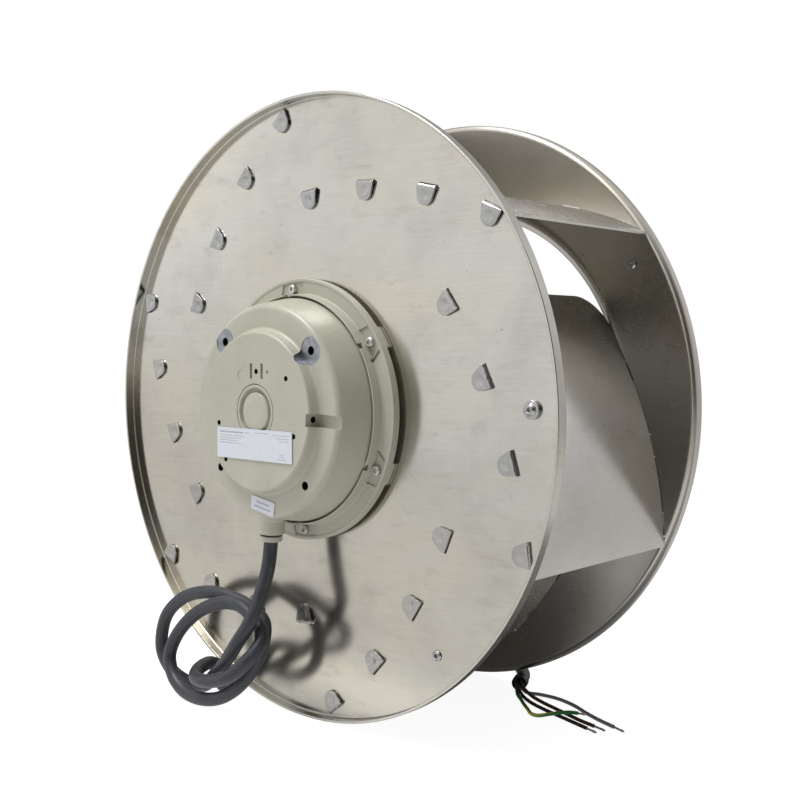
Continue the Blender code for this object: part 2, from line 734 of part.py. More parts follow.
def build_rotor_flange():
    """Flange ring shrunk on the rotor cup, with its feet, screw pockets and notches."""
    face, lip = RING_FACE_Z, RING_LIP_Z
    outer = RING_RADIUS
    seat = ROTOR_WALL_RADIUS + GAP
    profile = [
        (RING_INNER_RADIUS, lip - 0.6 * MM),
        (RING_INNER_RADIUS + 0.6 * MM, lip),
        (RING_INNER_RADIUS + 1.7 * MM, lip - 0.3 * MM),
        (RING_INNER_RADIUS + 2.4 * MM, face),
        (outer - RING_EDGE, face),
        (outer - 2.6 * MM, face + RING_BEAD),
        (outer - 0.7 * MM, face + RING_BEAD),
        (outer, face - 0.4 * MM),
        (outer, RING_BASE_Z),
        (seat, RING_BASE_Z),
        (seat, RING_FLOOR_Z),
        (RING_INNER_RADIUS, RING_FLOOR_Z),
    ]
    flange = lathe("flange_blank", profile, MOTOR_STEPS)
    half = FOOT_HALF_ANGLE
    feet = [
        prism("foot", sector(RING_INNER_RADIUS + FOOT_INSET, outer - RING_BEAD, angle, half), PLATE_Z + GAP, RING_BASE_Z + MM)
        for angle in screw_angles()
    ]
    boolean(flange, joined("feet", feet), "UNION")
    cuts = []
    for angle in screw_angles():
        near = SCREW_CIRCLE - SCREW_HEAD_RADIUS - SLOT_GAP
        pocket = sector(near, outer - RING_EDGE - SLOT_GAP, angle, math.radians(9), math.radians(6.8))
        cuts.append(prism("pocket", pocket, face - POCKET_DEPTH, lip + MM))
        shank = SCREW_RADIUS + SLOT_GAP
        cuts.append(
            column("hole", SCREW_CIRCLE, angle, shank, PLATE_Z - MM, face - POCKET_DEPTH + MM, 12)
        )
        notch = shifted(rectangle(NOTCH_LENGTH, NOTCH_WIDTH), *polar(RING_INNER_RADIUS + MM, angle), angle)
        cuts.append(prism("notch", notch, lip - NOTCH_DEPTH, lip + 2 * MM))
    for cutter, kind in ((cuts[0::3], "pockets"), (cuts[1::3], "shanks"), (cuts[2::3], "notches")):
        boolean(flange, joined(kind, cutter))
    node("rotor_flange", flange, CASTING, WHEEL_AXIS)


def build_rotor_screws():
    """Screws through the flange ring and the plate, each with its nut behind the plate."""
    seat = RING_FACE_Z - POCKET_DEPTH + GAP
    tip = PLATE_BACK_Z - GAP - NUT_HEIGHT - 2 * MM
    head = SCREW_HEAD_RADIUS
    profile = [
        (0, seat + SCREW_HEAD - 1.6 * MM),
        (1.2 * MM, seat + SCREW_HEAD - 1.6 * MM),
        (1.7 * MM, seat + SCREW_HEAD),
        (head - 1.2 * MM, seat + SCREW_HEAD),
        (head, seat + 1.4 * MM),
        (head, seat),
        (SCREW_RADIUS, seat),
        (SCREW_RADIUS, tip),
        (0, tip),
    ]
    made = lathe("screw_blank", profile, 10)
    made.modifiers["turn"].merge_threshold = 1e-5
    screw = baked_mesh(made)
    screw.transform(Matrix.Translation((SCREW_CIRCLE, 0, 0)))
    top = PLATE_BACK_Z - GAP
    nut = prism("nut_blank", disc(NUT_RADIUS, 6), top - NUT_HEIGHT, top)
    boolean(nut, prism("nut_hole", disc(SCREW_RADIUS + GAP, 10), top - NUT_HEIGHT - MM, top + MM))
    nut = baked_mesh(nut)
    nut.transform(Matrix.Translation((SCREW_CIRCLE, 0, 0)))
    for i, angle in enumerate(screw_angles()):
        node(f"rotor_screw_{i + 1}", None, STEEL, WHEEL_AXIS, angle, screw)
        node(f"rotor_nut_{i + 1}", None, STEEL, WHEEL_AXIS, angle, nut)


def ring(name, inner, outer, low, high, surface, parent=None, steps=28, chamfer=0.0):
    """A plain turned ring, with small chamfers on its outer edges where given."""
    profile = [
        (inner, high),
        (outer - chamfer, high),
        (outer, high - chamfer),
        (outer, low + chamfer),
        (outer - chamfer, low),
        (inner, low),
    ]
    if not chamfer:
        profile = [profile[i] for i in (0, 2, 3, 5)]
    return node(name, lathe(name + "_blank", profile, steps), surface, parent)


def build_shaft():
    """Shaft fixed in the rotor's hub, with its groove and retaining ring at the rear end."""
    rear = REAR_BEARING_Z + 4.2 * MM
    clip_low = REAR_BEARING_Z + GAP
    clip_high = clip_low + 1.4 * MM
    groove = SHAFT_RADIUS - 1.3 * MM
    front = ROTOR_END_Z - 7 * MM
    profile = [
        (0, rear),
        (SHAFT_RADIUS - MM, rear),
        (SHAFT_RADIUS, rear - MM),
        (SHAFT_RADIUS, clip_high + GAP),
        (groove, clip_high + GAP),
        (groove, clip_low - GAP),
        (SHAFT_RADIUS, clip_low - GAP),
        (SHAFT_RADIUS, front + MM),
        (SHAFT_RADIUS - MM, front),
        (0, front),
    ]
    shaft = lathe("shaft_blank", profile, 20)
    shaft.modifiers["turn"].merge_threshold = 1e-5
    node("shaft", shaft, STEEL, WHEEL_AXIS)
    inner = groove + GAP
    ring("shaft_ring", inner, SHAFT_RADIUS + 2.4 * MM, clip_low, clip_high, STEEL, WHEEL_AXIS, 24)


def build_bearing(name, top):
    """Ball bearing in four parts: static outer ring, turning inner ring, and cage with balls."""
    low = top - BEARING_WIDTH
    bore = SHAFT_RADIUS + GAP
    ring(f"bearing_{name}_outer", BEARING_RADIUS - BEARING_WALL, BEARING_RADIUS, low, top, STEEL)
    inner = ring(f"bearing_{name}_inner", bore, bore + BEARING_WALL, low, top, STEEL, WHEEL_AXIS, 24)
    middle = (low + top) / 2
    track = (bore + BEARING_WALL + BEARING_RADIUS - BEARING_WALL) / 2
    half = 1.6 * MM
    cage = lathe(
        f"cage_{name}_blank",
        [
            (track - 0.8 * MM, middle + half),
            (track + 0.8 * MM, middle + half),
            (track + 0.8 * MM, middle - half),
            (track - 0.8 * MM, middle - half),
        ],
        16,
    )
    balls = bmesh.new()
    for i in range(BALL_COUNT):
        x, y = polar(track, 2 * math.pi * (i + 0.5) / BALL_COUNT)
        where = Matrix.Translation((x, y, middle))
        bmesh.ops.create_uvsphere(
            balls, u_segments=6, v_segments=4, radius=BALL_RADIUS, matrix=where
        )
    boolean(cage, from_bmesh(f"balls_{name}", balls), "UNION")
    axis = empty(f"cage_{name}_axis", AXIS)
    node(f"bearing_{name}_cage", cage, STEEL, axis)
    return inner


def build_spring():
    """Wave spring that preloads the front bearing's outer ring."""
    inner, outer = BEARING_RADIUS - BEARING_WALL + 0.2 * MM, BEARING_RADIUS - 0.4 * MM
    thickness, count = 0.5 * MM, 24
    middle = (FRONT_SHOULDER_Z + FRONT_BEARING_Z) / 2
    swing = (SPRING_SPACE - thickness) / 2 - GAP
    mesh = bmesh.new()
    rings = []
    for i in range(count):
        angle = 2 * math.pi * i / count
        z = middle + swing * math.sin(3 * angle)
        corners = ((inner, -1), (outer, -1), (outer, 1), (inner, 1))
        rings.append([mesh.verts.new((*polar(r, angle), z + s * thickness / 2)) for r, s in corners])
    for i in range(count):
        this, after = rings[i], rings[(i + 1) % count]
        for j in range(4):
            k = (j + 1) % 4
            mesh.faces.new((this[j], this[k], after[k], after[j]))
    node("wave_spring", from_bmesh("spring_blank", mesh), STEEL)


def build_active_parts():
    """Laminated stator core, end windings and the rotor's core ring."""
    yoke, bore = 46 * MM, TUBE_RADIUS + GAP
    pitch = 2 * math.pi / CORE_TEETH
    outline = []
    for i in range(CORE_TEETH):
        middle = pitch * i
        outline += [
            polar(yoke, middle - pitch * 0.24),
            polar(CORE_RADIUS - 6 * MM, middle - pitch * 0.16),
            polar(CORE_RADIUS - 2 * MM, middle - pitch * 0.44),
            polar(CORE_RADIUS, middle - pitch * 0.44),
            polar(CORE_RADIUS, middle),
            polar(CORE_RADIUS, middle + pitch * 0.44),
            polar(CORE_RADIUS - 2 * MM, middle + pitch * 0.44),
            polar(CORE_RADIUS - 6 * MM, middle + pitch * 0.16),
            polar(yoke, middle + pitch * 0.24),
        ]
    core = prism("core_blank", outline, CORE_FRONT_Z, -CORE_REAR)
    boolean(core, prism("core_bore", disc(bore, 24), CORE_FRONT_Z - MM, -CORE_REAR + MM))
    node("stator_core", core, LAMINATION)
    inner, outer = yoke + 2 * MM, CORE_RADIUS - 6 * MM
    for name, low in (("winding_rear", -CORE_REAR + GAP), ("winding_front", CORE_FRONT_Z - GAP)):
        high = low + (WINDING_HEIGHT if name == "winding_rear" else -WINDING_HEIGHT)
        round_off = 4 * MM if high > low else -4 * MM
        profile = [
            (inner, low),
            (inner, high - round_off),
            (inner + 4 * MM, high),
            (outer - 4 * MM, high),
            (outer, high - round_off),
            (outer, low),
        ]
        node(name, lathe(name + "_blank", profile, 24), ((0.45, 0.2, 0.08), 0.9, 0.4))
    low, high = CORE_FRONT_Z - 5 * MM, -CORE_REAR + 3 * MM
    high = min(high, RING_FLOOR_Z)
    outer = ROTOR_INNER_RADIUS - GAP
    ring("rotor_core", ROTOR_CORE_INNER, outer, low, high, LAMINATION, WHEEL_AXIS, MOTOR_STEPS)


# Stator


def hole_angles():
    return [STATOR_TURN + math.radians(45 + 90 * i) for i in range(4)]


def radial_cylinder(name, radius, angle, z, start, end, steps=24):
    """A closed cylinder whose axis runs outwards from the fan's axis."""
    made = prism(name, disc(radius, steps), start, end)
    frame = Matrix.Rotation(angle, 4, "Z") @ Matrix.Rotation(math.pi / 2, 4, "Y")
    made.data.transform(Matrix.Translation((0, 0, z)) @ frame)
    return made


def stator_profile():
    """Outer face of the casting from the cap's bore outwards, then its inside and bearing tube."""
    top, wall = PLATEAU_HEIGHT, DOME_WALL
    cap_bore = CAP_RADIUS + GAP
    flange_top = RING_LIP_Z
    bottom = PLATE_Z + FLANGE_BOTTOM
    seat = SEAT_RADIUS
    ceiling = -wall
    return [
        (cap_bore, top),
        (PLATEAU_RADIUS - 2 * MM, top),
        (PLATEAU_RADIUS, top - 1.8 * MM),
        (PLATEAU_RADIUS + 1.4 * MM, 1.6 * MM),
        (PLATEAU_RADIUS + 3 * MM, 0),
        (seat, 0),
        (seat + 3 * MM, -1.4 * MM),
        (seat + SHOULDER_RUN, -SHOULDER_RUN),
        (STATOR_RADIUS, flange_top),
        (STATOR_RADIUS, bottom),
        (STATOR_RADIUS - wall, bottom),
        (seat - wall, ceiling - 4 * MM),
        (seat - wall - 4 * MM, ceiling),
        (TUBE_RADIUS, ceiling),
        (TUBE_RADIUS, TUBE_END_Z),
        (TUBE_BORE, TUBE_END_Z),
        (TUBE_BORE, FRONT_SHOULDER_Z),
        (TUBE_BORE - TUBE_SHOULDER, FRONT_SHOULDER_Z),
        (TUBE_BORE - TUBE_SHOULDER, REAR_SHOULDER_Z),
        (TUBE_BORE, REAR_SHOULDER_Z),
        (TUBE_BORE, top - CAP_THICKNESS - GAP),
        (cap_bore, top - CAP_THICKNESS - GAP),
    ]


def build_stator_housing():
    """Motor's static casting: seat, raised face, wall, holes, channel and cable boss."""
    housing = lathe("stator_blank", stator_profile(), MOTOR_STEPS)
    boss_z = -BOSS_DEPTH
    boss = radial_cylinder("cable_boss", BOSS_RADIUS, BOSS_ANGLE, boss_z, SEAT_RADIUS - 2 * MM, BOSS_END)
    boolean(housing, boss, "UNION")
    lugs = [
        column("lug", HOLE_CIRCLE, angle, 7 * MM, -HOLE_DEPTH - 4 * MM, -DOME_WALL / 2)
        for angle in hole_angles()
    ]
    boolean(housing, joined("lugs", lugs), "UNION")
    bore = radial_cylinder("cable_bore", CABLE_BORE + GAP, BOSS_ANGLE, boss_z, SEAT_RADIUS - 2 * DOME_WALL, BOSS_END + MM)
    boolean(housing, bore)
    holes = [
        column("hole", HOLE_CIRCLE, angle, HOLE_RADIUS, -HOLE_DEPTH, 12 * MM) for angle in hole_angles()
    ]
    boolean(housing, joined("mounting_holes", holes))
    faces = [
        column("face", HOLE_CIRCLE, angle, SPOT_FACE_RADIUS, -SPOT_FACE_DEPTH, PLATEAU_HEIGHT + MM, 28)
        for angle in hole_angles()[:2]
    ]
    boolean(housing, joined("spot_faces", faces))
    angle = STATOR_TURN
    start, end = PLATEAU_RADIUS - 4 * MM, SEAT_RADIUS + 12 * MM
    middle = polar((start + end) / 2, angle)
    channel = prism(
        "channel",
        shifted(rectangle(end - start, CHANNEL_WIDTH), *middle, angle),
        -CHANNEL_DEPTH,
        PLATEAU_HEIGHT + 2 * MM,
    )
    boolean(housing, channel)
    slot_height = PLATEAU_RADIUS - SLOT_INSET
    middle = (2.3 * MM, slot_height)
    pin_places = [polar(PLATEAU_RADIUS - PIN_INSET, angle) for angle in PIN_ANGLES] + [middle]
    pins = [
        prism("pin", shifted(disc(PIN_RADIUS, 8), *place), PLATEAU_HEIGHT - 4 * MM, PLATEAU_HEIGHT + 4 * MM)
        for place in pin_places
    ]
    for side in (-0.5, 0.5):
        outline = shifted(rectangle(*SLOT_SIZE), middle[0] + side * SLOT_SPREAD, slot_height)
        pins.append(prism("slot", outline, PLATEAU_HEIGHT - 2 * MM, PLATEAU_HEIGHT + 4 * MM))
    boolean(housing, joined("face_marks", pins))
    drain = radial_cylinder(
        "drain", 2.8 * MM, STATOR_TURN, 1.6 * MM, PLATEAU_RADIUS - 14 * MM, PLATEAU_RADIUS + 2 * MM, 12
    )
    boolean(housing, drain)
    node("stator_housing", housing, CASTING)


def build_end_cap():
    """Round cap with a moat and a button, closing the bearing tube."""
    top = PLATEAU_HEIGHT
    plug = BEARING_RADIUS - GAP
    profile = [
        (0, top + 0.3 * MM),
        (BUTTON_RADIUS * 0.7, top + 0.1 * MM),
        (BUTTON_RADIUS, top - 0.8 * MM),
        (BUTTON_RADIUS, top - 3 * MM),
        (MOAT_RADIUS, top - 3 * MM),
        (MOAT_RADIUS + 0.4 * MM, top),
        (CAP_RADIUS, top),
        (CAP_RADIUS, top - CAP_THICKNESS),
        (plug, top - CAP_THICKNESS),
        (plug, 2 * MM),
        (plug - 2 * MM, 2 * MM),
        (plug - 2 * MM, top - CAP_THICKNESS),
        (0, top - CAP_THICKNESS),
    ]
    cap = lathe("cap_blank", profile, MOTOR_STEPS)
    cap.modifiers["turn"].merge_threshold = 1e-5
    node("end_cap", cap, CASTING)


def build_labels():
    """Two bare labels."""
    low = PLATEAU_HEIGHT + GAP + 0.1 * MM
    label = prism("label_blank", shifted(rectangle(*LABEL_SIZE), *LABEL_CENTRE), low, low + LABEL_SHEET)
    node("large_label", label, ((0.8, 0.81, 0.84), 0.0, 0.4))
    place = polar(SMALL_LABEL_RADIUS, SMALL_LABEL_ANGLE)
    outline = shifted(rectangle(*SMALL_LABEL_SIZE), *place, SMALL_LABEL_TURN)
    label = prism("small_blank", outline, GAP, GAP + LABEL_SHEET)
    node("small_label", label, ((0.8, 0.81, 0.84), 0.0, 0.4))


def radial_ring(name, outer, start, end, surface):
    """A turned ring round the cable, outwards from the boss."""
    profile = [(CABLE_BORE, end), (outer, end), (outer, start), (CABLE_BORE, start)]
    data = baked_mesh(lathe(name + "_blank", profile, 20))
    frame = Matrix.Rotation(BOSS_ANGLE, 4, "Z") @ Matrix.Rotation(math.pi / 2, 4, "Y")
    data.transform(Matrix.Translation((0, 0, -BOSS_DEPTH)) @ frame)
    node(name, None, surface, data=data)


def build_gland():
    """Rubber seal and collar where the cable leaves the boss."""
    start = BOSS_END + GAP
    radial_ring("gland_seal", COLLAR_RADIUS - 0.6 * MM, start, start + SEAL_THICKNESS, ((0.02, 0.02, 0.02), 0.0, 0.7))
    start += SEAL_THICKNESS + GAP
    radial_ring("gland_collar", COLLAR_RADIUS, start, start + COLLAR_LENGTH, CASTING)


# Cable


def smooth_line(points):
    """Centripetal Catmull-Rom curve through the points, with the place of each point in it."""
    ends = [2 * points[0] - points[1], *points, 2 * points[-1] - points[-2]]
    line, places = [], []
    for a, b, c, d in zip(ends, ends[1:], ends[2:], ends[3:]):
        knots = [0.0]
        for p, q in ((a, b), (b, c), (c, d)):
            knots.append(knots[-1] + math.sqrt((q - p).length))
        places.append(len(line))
        for i in range(12):
            t = knots[1] + (knots[2] - knots[1]) * i / 12
            ab = a.lerp(b, (t - knots[0]) / (knots[1] - knots[0]))
            bc = b.lerp(c, (t - knots[1]) / (knots[2] - knots[1]))
            cd = c.lerp(d, (t - knots[2]) / (knots[3] - knots[2]))
            near = ab.lerp(bc, (t - knots[0]) / (knots[2] - knots[0]))
            far = bc.lerp(cd, (t - knots[1]) / (knots[3] - knots[1]))
            line.append(near.lerp(far, (t - knots[1]) / (knots[2] - knots[1])))
    return line + [points[-1]], places


def spaced(line, spacing):
    """Points along the line about the spacing apart, with both its ends."""
    lengths = [0.0]
    for p, q in zip(line, line[1:]):
        lengths.append(lengths[-1] + (q - p).length)
    count = max(1, round(lengths[-1] / spacing))
    found, i = [], 0
    for step in range(count):
        want = lengths[-1] * step / count
        while lengths[i + 1] < want:
            i += 1
        found.append(line[i].lerp(line[i + 1], (want - lengths[i]) / (lengths[i + 1] - lengths[i])))
    return found + [line[-1]]


def tube(name, points, radius, surface):
    """A round solid along a line of points."""
    data = bpy.data.curves.new(name, "CURVE")
    data.dimensions = "3D"
    data.bevel_depth = radius
    data.bevel_resolution = 2
    data.use_fill_caps = True
    spline = data.splines.new("POLY")
    spline.points.add(len(points) - 1)
    for place, point in zip(spline.points, points):
        place.co = (*point, 1.0)
    data.materials.append(material(name, *surface))
    made = bpy.data.objects.new(name, data)
    made.parent = CABLE_ROOT
    PART.objects.link(made)


def in_metres(points):
    return [Vector(point) * MM for point in points]


def gland_line():
    """Straight points that the cable follows through its gland, in world coordinates."""
    places = [polar(radius, BOSS_ANGLE) for radius in (BOSS_END - 13.5 * MM, EXIT_RADIUS + 2 * MM)]
    return [Vector((x, BOSS_DEPTH, z)) for x, z in places]


def build_cable():
    """Cable with its loose knot, its taped end, and its four cores with bare ends."""
    gland = gland_line()
    line, places = smooth_line(gland + in_metres(CABLE_KNOT + CABLE_TAIL))
    split = places[len(gland) + len(CABLE_KNOT) - 1]
    route = spaced(line[: split + 1], 18 * MM)[:-1] + spaced(line[split:], 36 * MM)
    tube("cable", route, CABLE_RADIUS, ((0.035, 0.037, 0.045), 0.0, 0.45))
    end = route[-1]
    along = (end - route[-2]).normalized()
    side = Vector((-along.y, along.x, 0)).normalized()
    up = Vector((0, 0, 1))
    tape = lathe("tape_blank", tape_profile(), 20)
    data = baked_mesh(tape)
    frame = along.to_track_quat("Z", "Y").to_matrix().to_4x4()
    data.transform(Matrix.Translation(end) @ frame)
    node("cable_tape", None, ((0.02, 0.02, 0.022), 0.0, 0.6), CABLE_ROOT, data=data)
    corners = {"grey": (-1, -1), "green": (1, -1), "brown": (-1, 1), "black": (1, 1)}
    for i, (name, points) in enumerate(CORE_ROUTES.items()):
        across, rise = corners[name]
        start = end + along * GAP - side * across * CORE_SPREAD + up * rise * CORE_SPREAD
        build_core(name, i + 1, start, start + along * TAPE_BEYOND_END, in_metres(points))


def build_core(name, number, start, leave, points):
    """One insulated core and, in line with its end, its bare conductor."""
    points = [start, leave] + points[1:]
    bare_length = (points[-1] - points[-2]).length
    points.pop()
    line, _ = smooth_line(points)
    route = spaced(line, 8 * MM)
    tube(f"core_{name}", route, CORE_RADIUS_OUTER, (CORE_COLOURS[name], 0.0, 0.5))
    direction = (route[-1] - route[-2]).normalized()
    bare = [route[-1] + direction * GAP, route[-1] + direction * bare_length]
    tube(f"conductor_{number}", bare, CONDUCTOR_RADIUS, ((0.75, 0.68, 0.62), 1.0, 0.35))


def tape_profile():
    """Turned profile of the tape round the end of the cable's sheath."""
    inner = CABLE_RADIUS + GAP
    outer = inner + TAPE_THICKNESS
    low, high = -TAPE_BEFORE_END, TAPE_BEYOND_END
    return [(inner, high), (outer, high), (outer, low), (inner, low)]


def main():
    build_back_plate()
    build_shroud()
    build_blades()
    build_weights()
    build_rotor_housing()
    build_rotor_flange()
    build_rotor_screws()
    build_shaft()
    build_bearing("rear", REAR_BEARING_Z)
    build_bearing("front", FRONT_BEARING_Z)
    build_spring()
    build_active_parts()
    build_stator_housing()
    build_end_cap()
    build_labels()
    build_gland()
    build_cable()


main()
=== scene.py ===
"""A plug fan standing on a pale floor: its backward-curved wheel, motor and knotted cable.

Lengths are in metres. The fan's axis runs along Y: the motor looks towards -Y, the inlet opens
towards +Y and +Z is up. A place on the fan is given by its radius, its angle from +X towards +Z
and its depth, which is its Y. Each sub-assembly is a class that holds its own sizes.
"""

import logging
import math
from collections.abc import Callable, Iterable, Iterator
from contextlib import contextmanager
from dataclasses import dataclass
from enum import Enum

import bmesh
import bpy
from mathutils import Matrix, Vector


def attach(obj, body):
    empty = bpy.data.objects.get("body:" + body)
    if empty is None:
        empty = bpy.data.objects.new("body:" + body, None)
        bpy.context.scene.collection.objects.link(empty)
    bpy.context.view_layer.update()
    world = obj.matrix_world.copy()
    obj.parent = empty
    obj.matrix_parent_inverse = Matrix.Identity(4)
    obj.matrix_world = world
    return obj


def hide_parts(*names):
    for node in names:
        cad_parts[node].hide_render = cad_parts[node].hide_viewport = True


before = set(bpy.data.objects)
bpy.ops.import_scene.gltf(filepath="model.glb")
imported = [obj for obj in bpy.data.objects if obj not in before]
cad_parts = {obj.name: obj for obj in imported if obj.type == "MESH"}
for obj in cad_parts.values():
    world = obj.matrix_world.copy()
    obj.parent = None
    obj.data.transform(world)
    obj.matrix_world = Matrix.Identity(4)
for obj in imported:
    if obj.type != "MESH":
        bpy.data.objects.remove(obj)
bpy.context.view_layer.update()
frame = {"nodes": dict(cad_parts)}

LOG = logging.getLogger("plug_fan")
MM = 0.001
GAP = 0.3 * MM
CAST_TURN = -3.8  # degrees that the stator's casting is turned about the axis
SCREW_CIRCLE = 108.0  # radius of the circle of the rotor's screws, in millimetres
Profile = list[tuple[float, float]]
Colour = tuple[float, float, float]
Points = tuple[tuple[float, float, float], ...]
Panel = tuple[float, float, float, tuple[float, float, float]]
Piece = bpy.types.Object
Material = bpy.types.Material
Socket = bpy.types.NodeSocket


# Hand tools


def deselect() -> None:
    """Leaves nothing selected."""
    bpy.ops.object.select_all(action="DESELECT")


def take(piece: Piece) -> None:
    """Selects one piece alone and makes it the active one.

    Args:
        piece: the object to work on.
    """
    deselect()
    piece.select_set(True)
    bpy.context.view_layer.objects.active = piece


@contextmanager
def editing(piece: Piece) -> Iterator[None]:
    """Edit mode on one piece, with nothing of its mesh selected at the start.

    Args:
        piece: the mesh object to shape.

    Returns:
        A context that ends back in object mode.
    """
    take(piece)
    bpy.ops.object.mode_set(mode="EDIT")
    bpy.ops.mesh.select_mode(type="VERT")
    bpy.ops.mesh.select_all(action="DESELECT")
    yield
    bpy.ops.object.mode_set(mode="OBJECT")


def pick(piece: Piece, kind: str, test: Callable[[Vector, Vector], bool]) -> int:
    """Selects the parts of the edited mesh that pass a test.

    Args:
        piece: the object in edit mode.
        kind: "verts", "edges" or "faces".
        test: takes an element's middle and its normal.

    Returns:
        How many elements passed.
    """
    mesh = bmesh.from_edit_mesh(piece.data)
    found = 0
    for item in getattr(mesh, kind):
        if kind == "verts":
            middle, normal = item.co, item.normal
        elif kind == "edges":
            middle, normal = (item.verts[0].co + item.verts[1].co) / 2, Vector()
        else:
            middle, normal = item.calc_center_median(), item.normal
        if test(middle, normal):
            item.select_set(True)
            found += 1
    bmesh.update_edit_mesh(piece.data)
    return found


def settle(piece: Piece, name: str, angle: float = 32.0) -> Piece:
    """Bakes a piece's place into its mesh, names it and smooths all but its sharp edges.

    Args:
        piece: the shaped object.
        name: its name in the scene.
        angle: degrees above which an edge stays sharp.

    Returns:
        The same object.
    """
    take(piece)
    bpy.ops.object.transform_apply(location=True, rotation=True, scale=True)
    bpy.ops.object.shade_smooth_by_angle(angle=math.radians(angle))
    piece.name = name
    piece.data.name = name
    return piece


def finish_with(piece: Piece, kind: str, **settings: object) -> None:
    """Adds one modifier to a piece and applies it.

    Args:
        piece: the object to change.
        kind: the modifier's type.
        settings: its properties.
    """
    modifier = piece.modifiers.new(kind.lower(), kind)
    for name, value in settings.items():
        setattr(modifier, name, value)
    take(piece)
    bpy.ops.object.modifier_apply(modifier=modifier.name)


def work(piece: Piece, tool: Piece, how: str = "DIFFERENCE") -> None:
    """Cuts, joins or trims a piece with a tool body, which is used up.

    Args:
        piece: the object to change.
        tool: the closed body that works on it.
        how: DIFFERENCE, UNION or INTERSECT.
    """
    finish_with(piece, "BOOLEAN", solver="EXACT", operation=how, object=tool)
    bpy.data.objects.remove(tool, do_unlink=True)


def joined(pieces: list[Piece]) -> Piece:
    """One object made of several meshes.

    Args:
        pieces: the objects to join.

    Returns:
        The joined object.
    """
    take(pieces[0])
    for piece in pieces:
        piece.select_set(True)
    bpy.ops.object.join()
    return bpy.context.object


def turned(name: str, profile: Profile, steps: int, closed: bool = True) -> Piece:
    """A body turned about the fan's axis.

    Args:
        name: its name.
        profile: (radius, depth) points along its outline, none of them on the axis.
        steps: divisions round the axis.
        closed: whether the outline's ends are joined, or else each is filled flat.

    Returns:
        The turned object.
    """
    radius, depth = profile[0]
    deselect()
    bpy.ops.mesh.primitive_circle_add(
        vertices=steps, radius=radius, location=(0, depth, 0), rotation=(math.pi / 2, 0, 0)
    )
    made = bpy.context.object
    bpy.ops.object.transform_apply(location=True, rotation=True, scale=True)
    bpy.ops.object.mode_set(mode="EDIT")
    bpy.ops.mesh.select_mode(type="VERT")
    bpy.ops.mesh.select_all(action="SELECT")
    for (near, start), (far, end) in zip(profile, profile[1:]):
        bpy.ops.mesh.extrude_edges_move(TRANSFORM_OT_translate={"value": (0, end - start, 0)})
        share = far / near
        if abs(share - 1) > 1e-9:
            bpy.ops.transform.resize(value=(share, 1, share), center_override=(0, 0, 0))
    bpy.ops.mesh.select_all(action="DESELECT")
    bpy.ops.mesh.select_non_manifold()
    if closed:
        bpy.ops.mesh.bridge_edge_loops()
    else:
        bpy.ops.mesh.fill_holes(sides=0)
    bpy.ops.mesh.select_all(action="SELECT")
    bpy.ops.mesh.normals_make_consistent(inside=False)
    bpy.ops.object.mode_set(mode="OBJECT")
    return settle(made, name)


def rounded(corners: list[tuple[float, float, float]], parts: int = 4) -> Profile:
    """Outline in millimetres with its corners rounded, given in metres.

    Args:
        corners: (radius, depth, rounding) of each corner, in millimetres.
        parts: divisions of each rounding.

    Returns:
        (radius, depth) points in metres.
    """
    found: Profile = []
    count = len(corners)
    for i, (x, y, bend) in enumerate(corners):
        if not bend:
            found.append((x * MM, y * MM))
            continue
        here = Vector((x, y))
        back = (Vector(corners[i - 1][:2]) - here).normalized()
        ahead = (Vector(corners[(i + 1) % count][:2]) - here).normalized()
        half = back.angle(ahead) / 2
        run = bend / math.tan(half)
        middle = here + (back + ahead).normalized() * bend / math.sin(half)
        first, last = here + back * run - middle, here + ahead * run - middle
        for step in range(parts + 1):
            spoke = first.slerp(last, step / parts).normalized() * bend
            found.append(tuple((middle + spoke) * MM))
    return found


def polar(radius: float, angle: float, depth: float = 0.0) -> Vector:
    """A place on the fan from its radius, its angle in degrees and its depth."""
    turn = math.radians(angle)
    return Vector((radius * math.cos(turn), depth, radius * math.sin(turn)))


def turn_about_axis(degrees: float) -> Matrix:
    """Turn about the fan's axis, from +X towards +Z."""
    return Matrix.Rotation(math.radians(-degrees), 4, "Y")


def place(piece: Piece, where: Matrix) -> Piece:
    """Moves a piece by a matrix and bakes that into its mesh.

    Args:
        piece: the object to move.
        where: the move.

    Returns:
        The same object.
    """
    piece.matrix_world = where @ piece.matrix_world
    take(piece)
    bpy.ops.object.transform_apply(location=True, rotation=True, scale=True)
    return piece


def copied(piece: Piece, name: str, where: Matrix) -> Piece:
    """A copy of a piece, with its own mesh, at another place.

    Args:
        piece: what is copied.
        name: the copy's name.
        where: the copy's move.

    Returns:
        The copy.
    """
    take(piece)
    bpy.ops.object.duplicate(linked=False)
    made = bpy.context.object
    made.name = name
    made.data.name = name
    return place(made, where)


def rod(radius: float, start: Vector, end: Vector, steps: int = 24) -> Piece:
    """A round bar between two points, used as a tool body or a blank.

    Args:
        radius: its radius.
        start: middle of one end.
        end: middle of the other end.
        steps: divisions round it.

    Returns:
        The bar.
    """
    deselect()
    bpy.ops.mesh.primitive_cylinder_add(
        vertices=steps, radius=radius, depth=(end - start).length, location=(start + end) / 2
    )
    made = bpy.context.object
    made.rotation_mode = "QUATERNION"
    made.rotation_quaternion = (end - start).to_track_quat("Z", "X")
    bpy.ops.object.transform_apply(location=True, rotation=True, scale=True)
    return made


def block(size: tuple[float, float, float], where: Matrix) -> Piece:
    """A block of the given size, placed by a matrix, used as a tool body or a blank.

    Args:
        size: its lengths along its own axes.
        where: puts it in place.

    Returns:
        The block.
    """
    deselect()
    bpy.ops.mesh.primitive_cube_add(size=1)
    made = bpy.context.object
    made.scale = size
    bpy.ops.object.transform_apply(location=True, rotation=True, scale=True)
    return place(made, where)


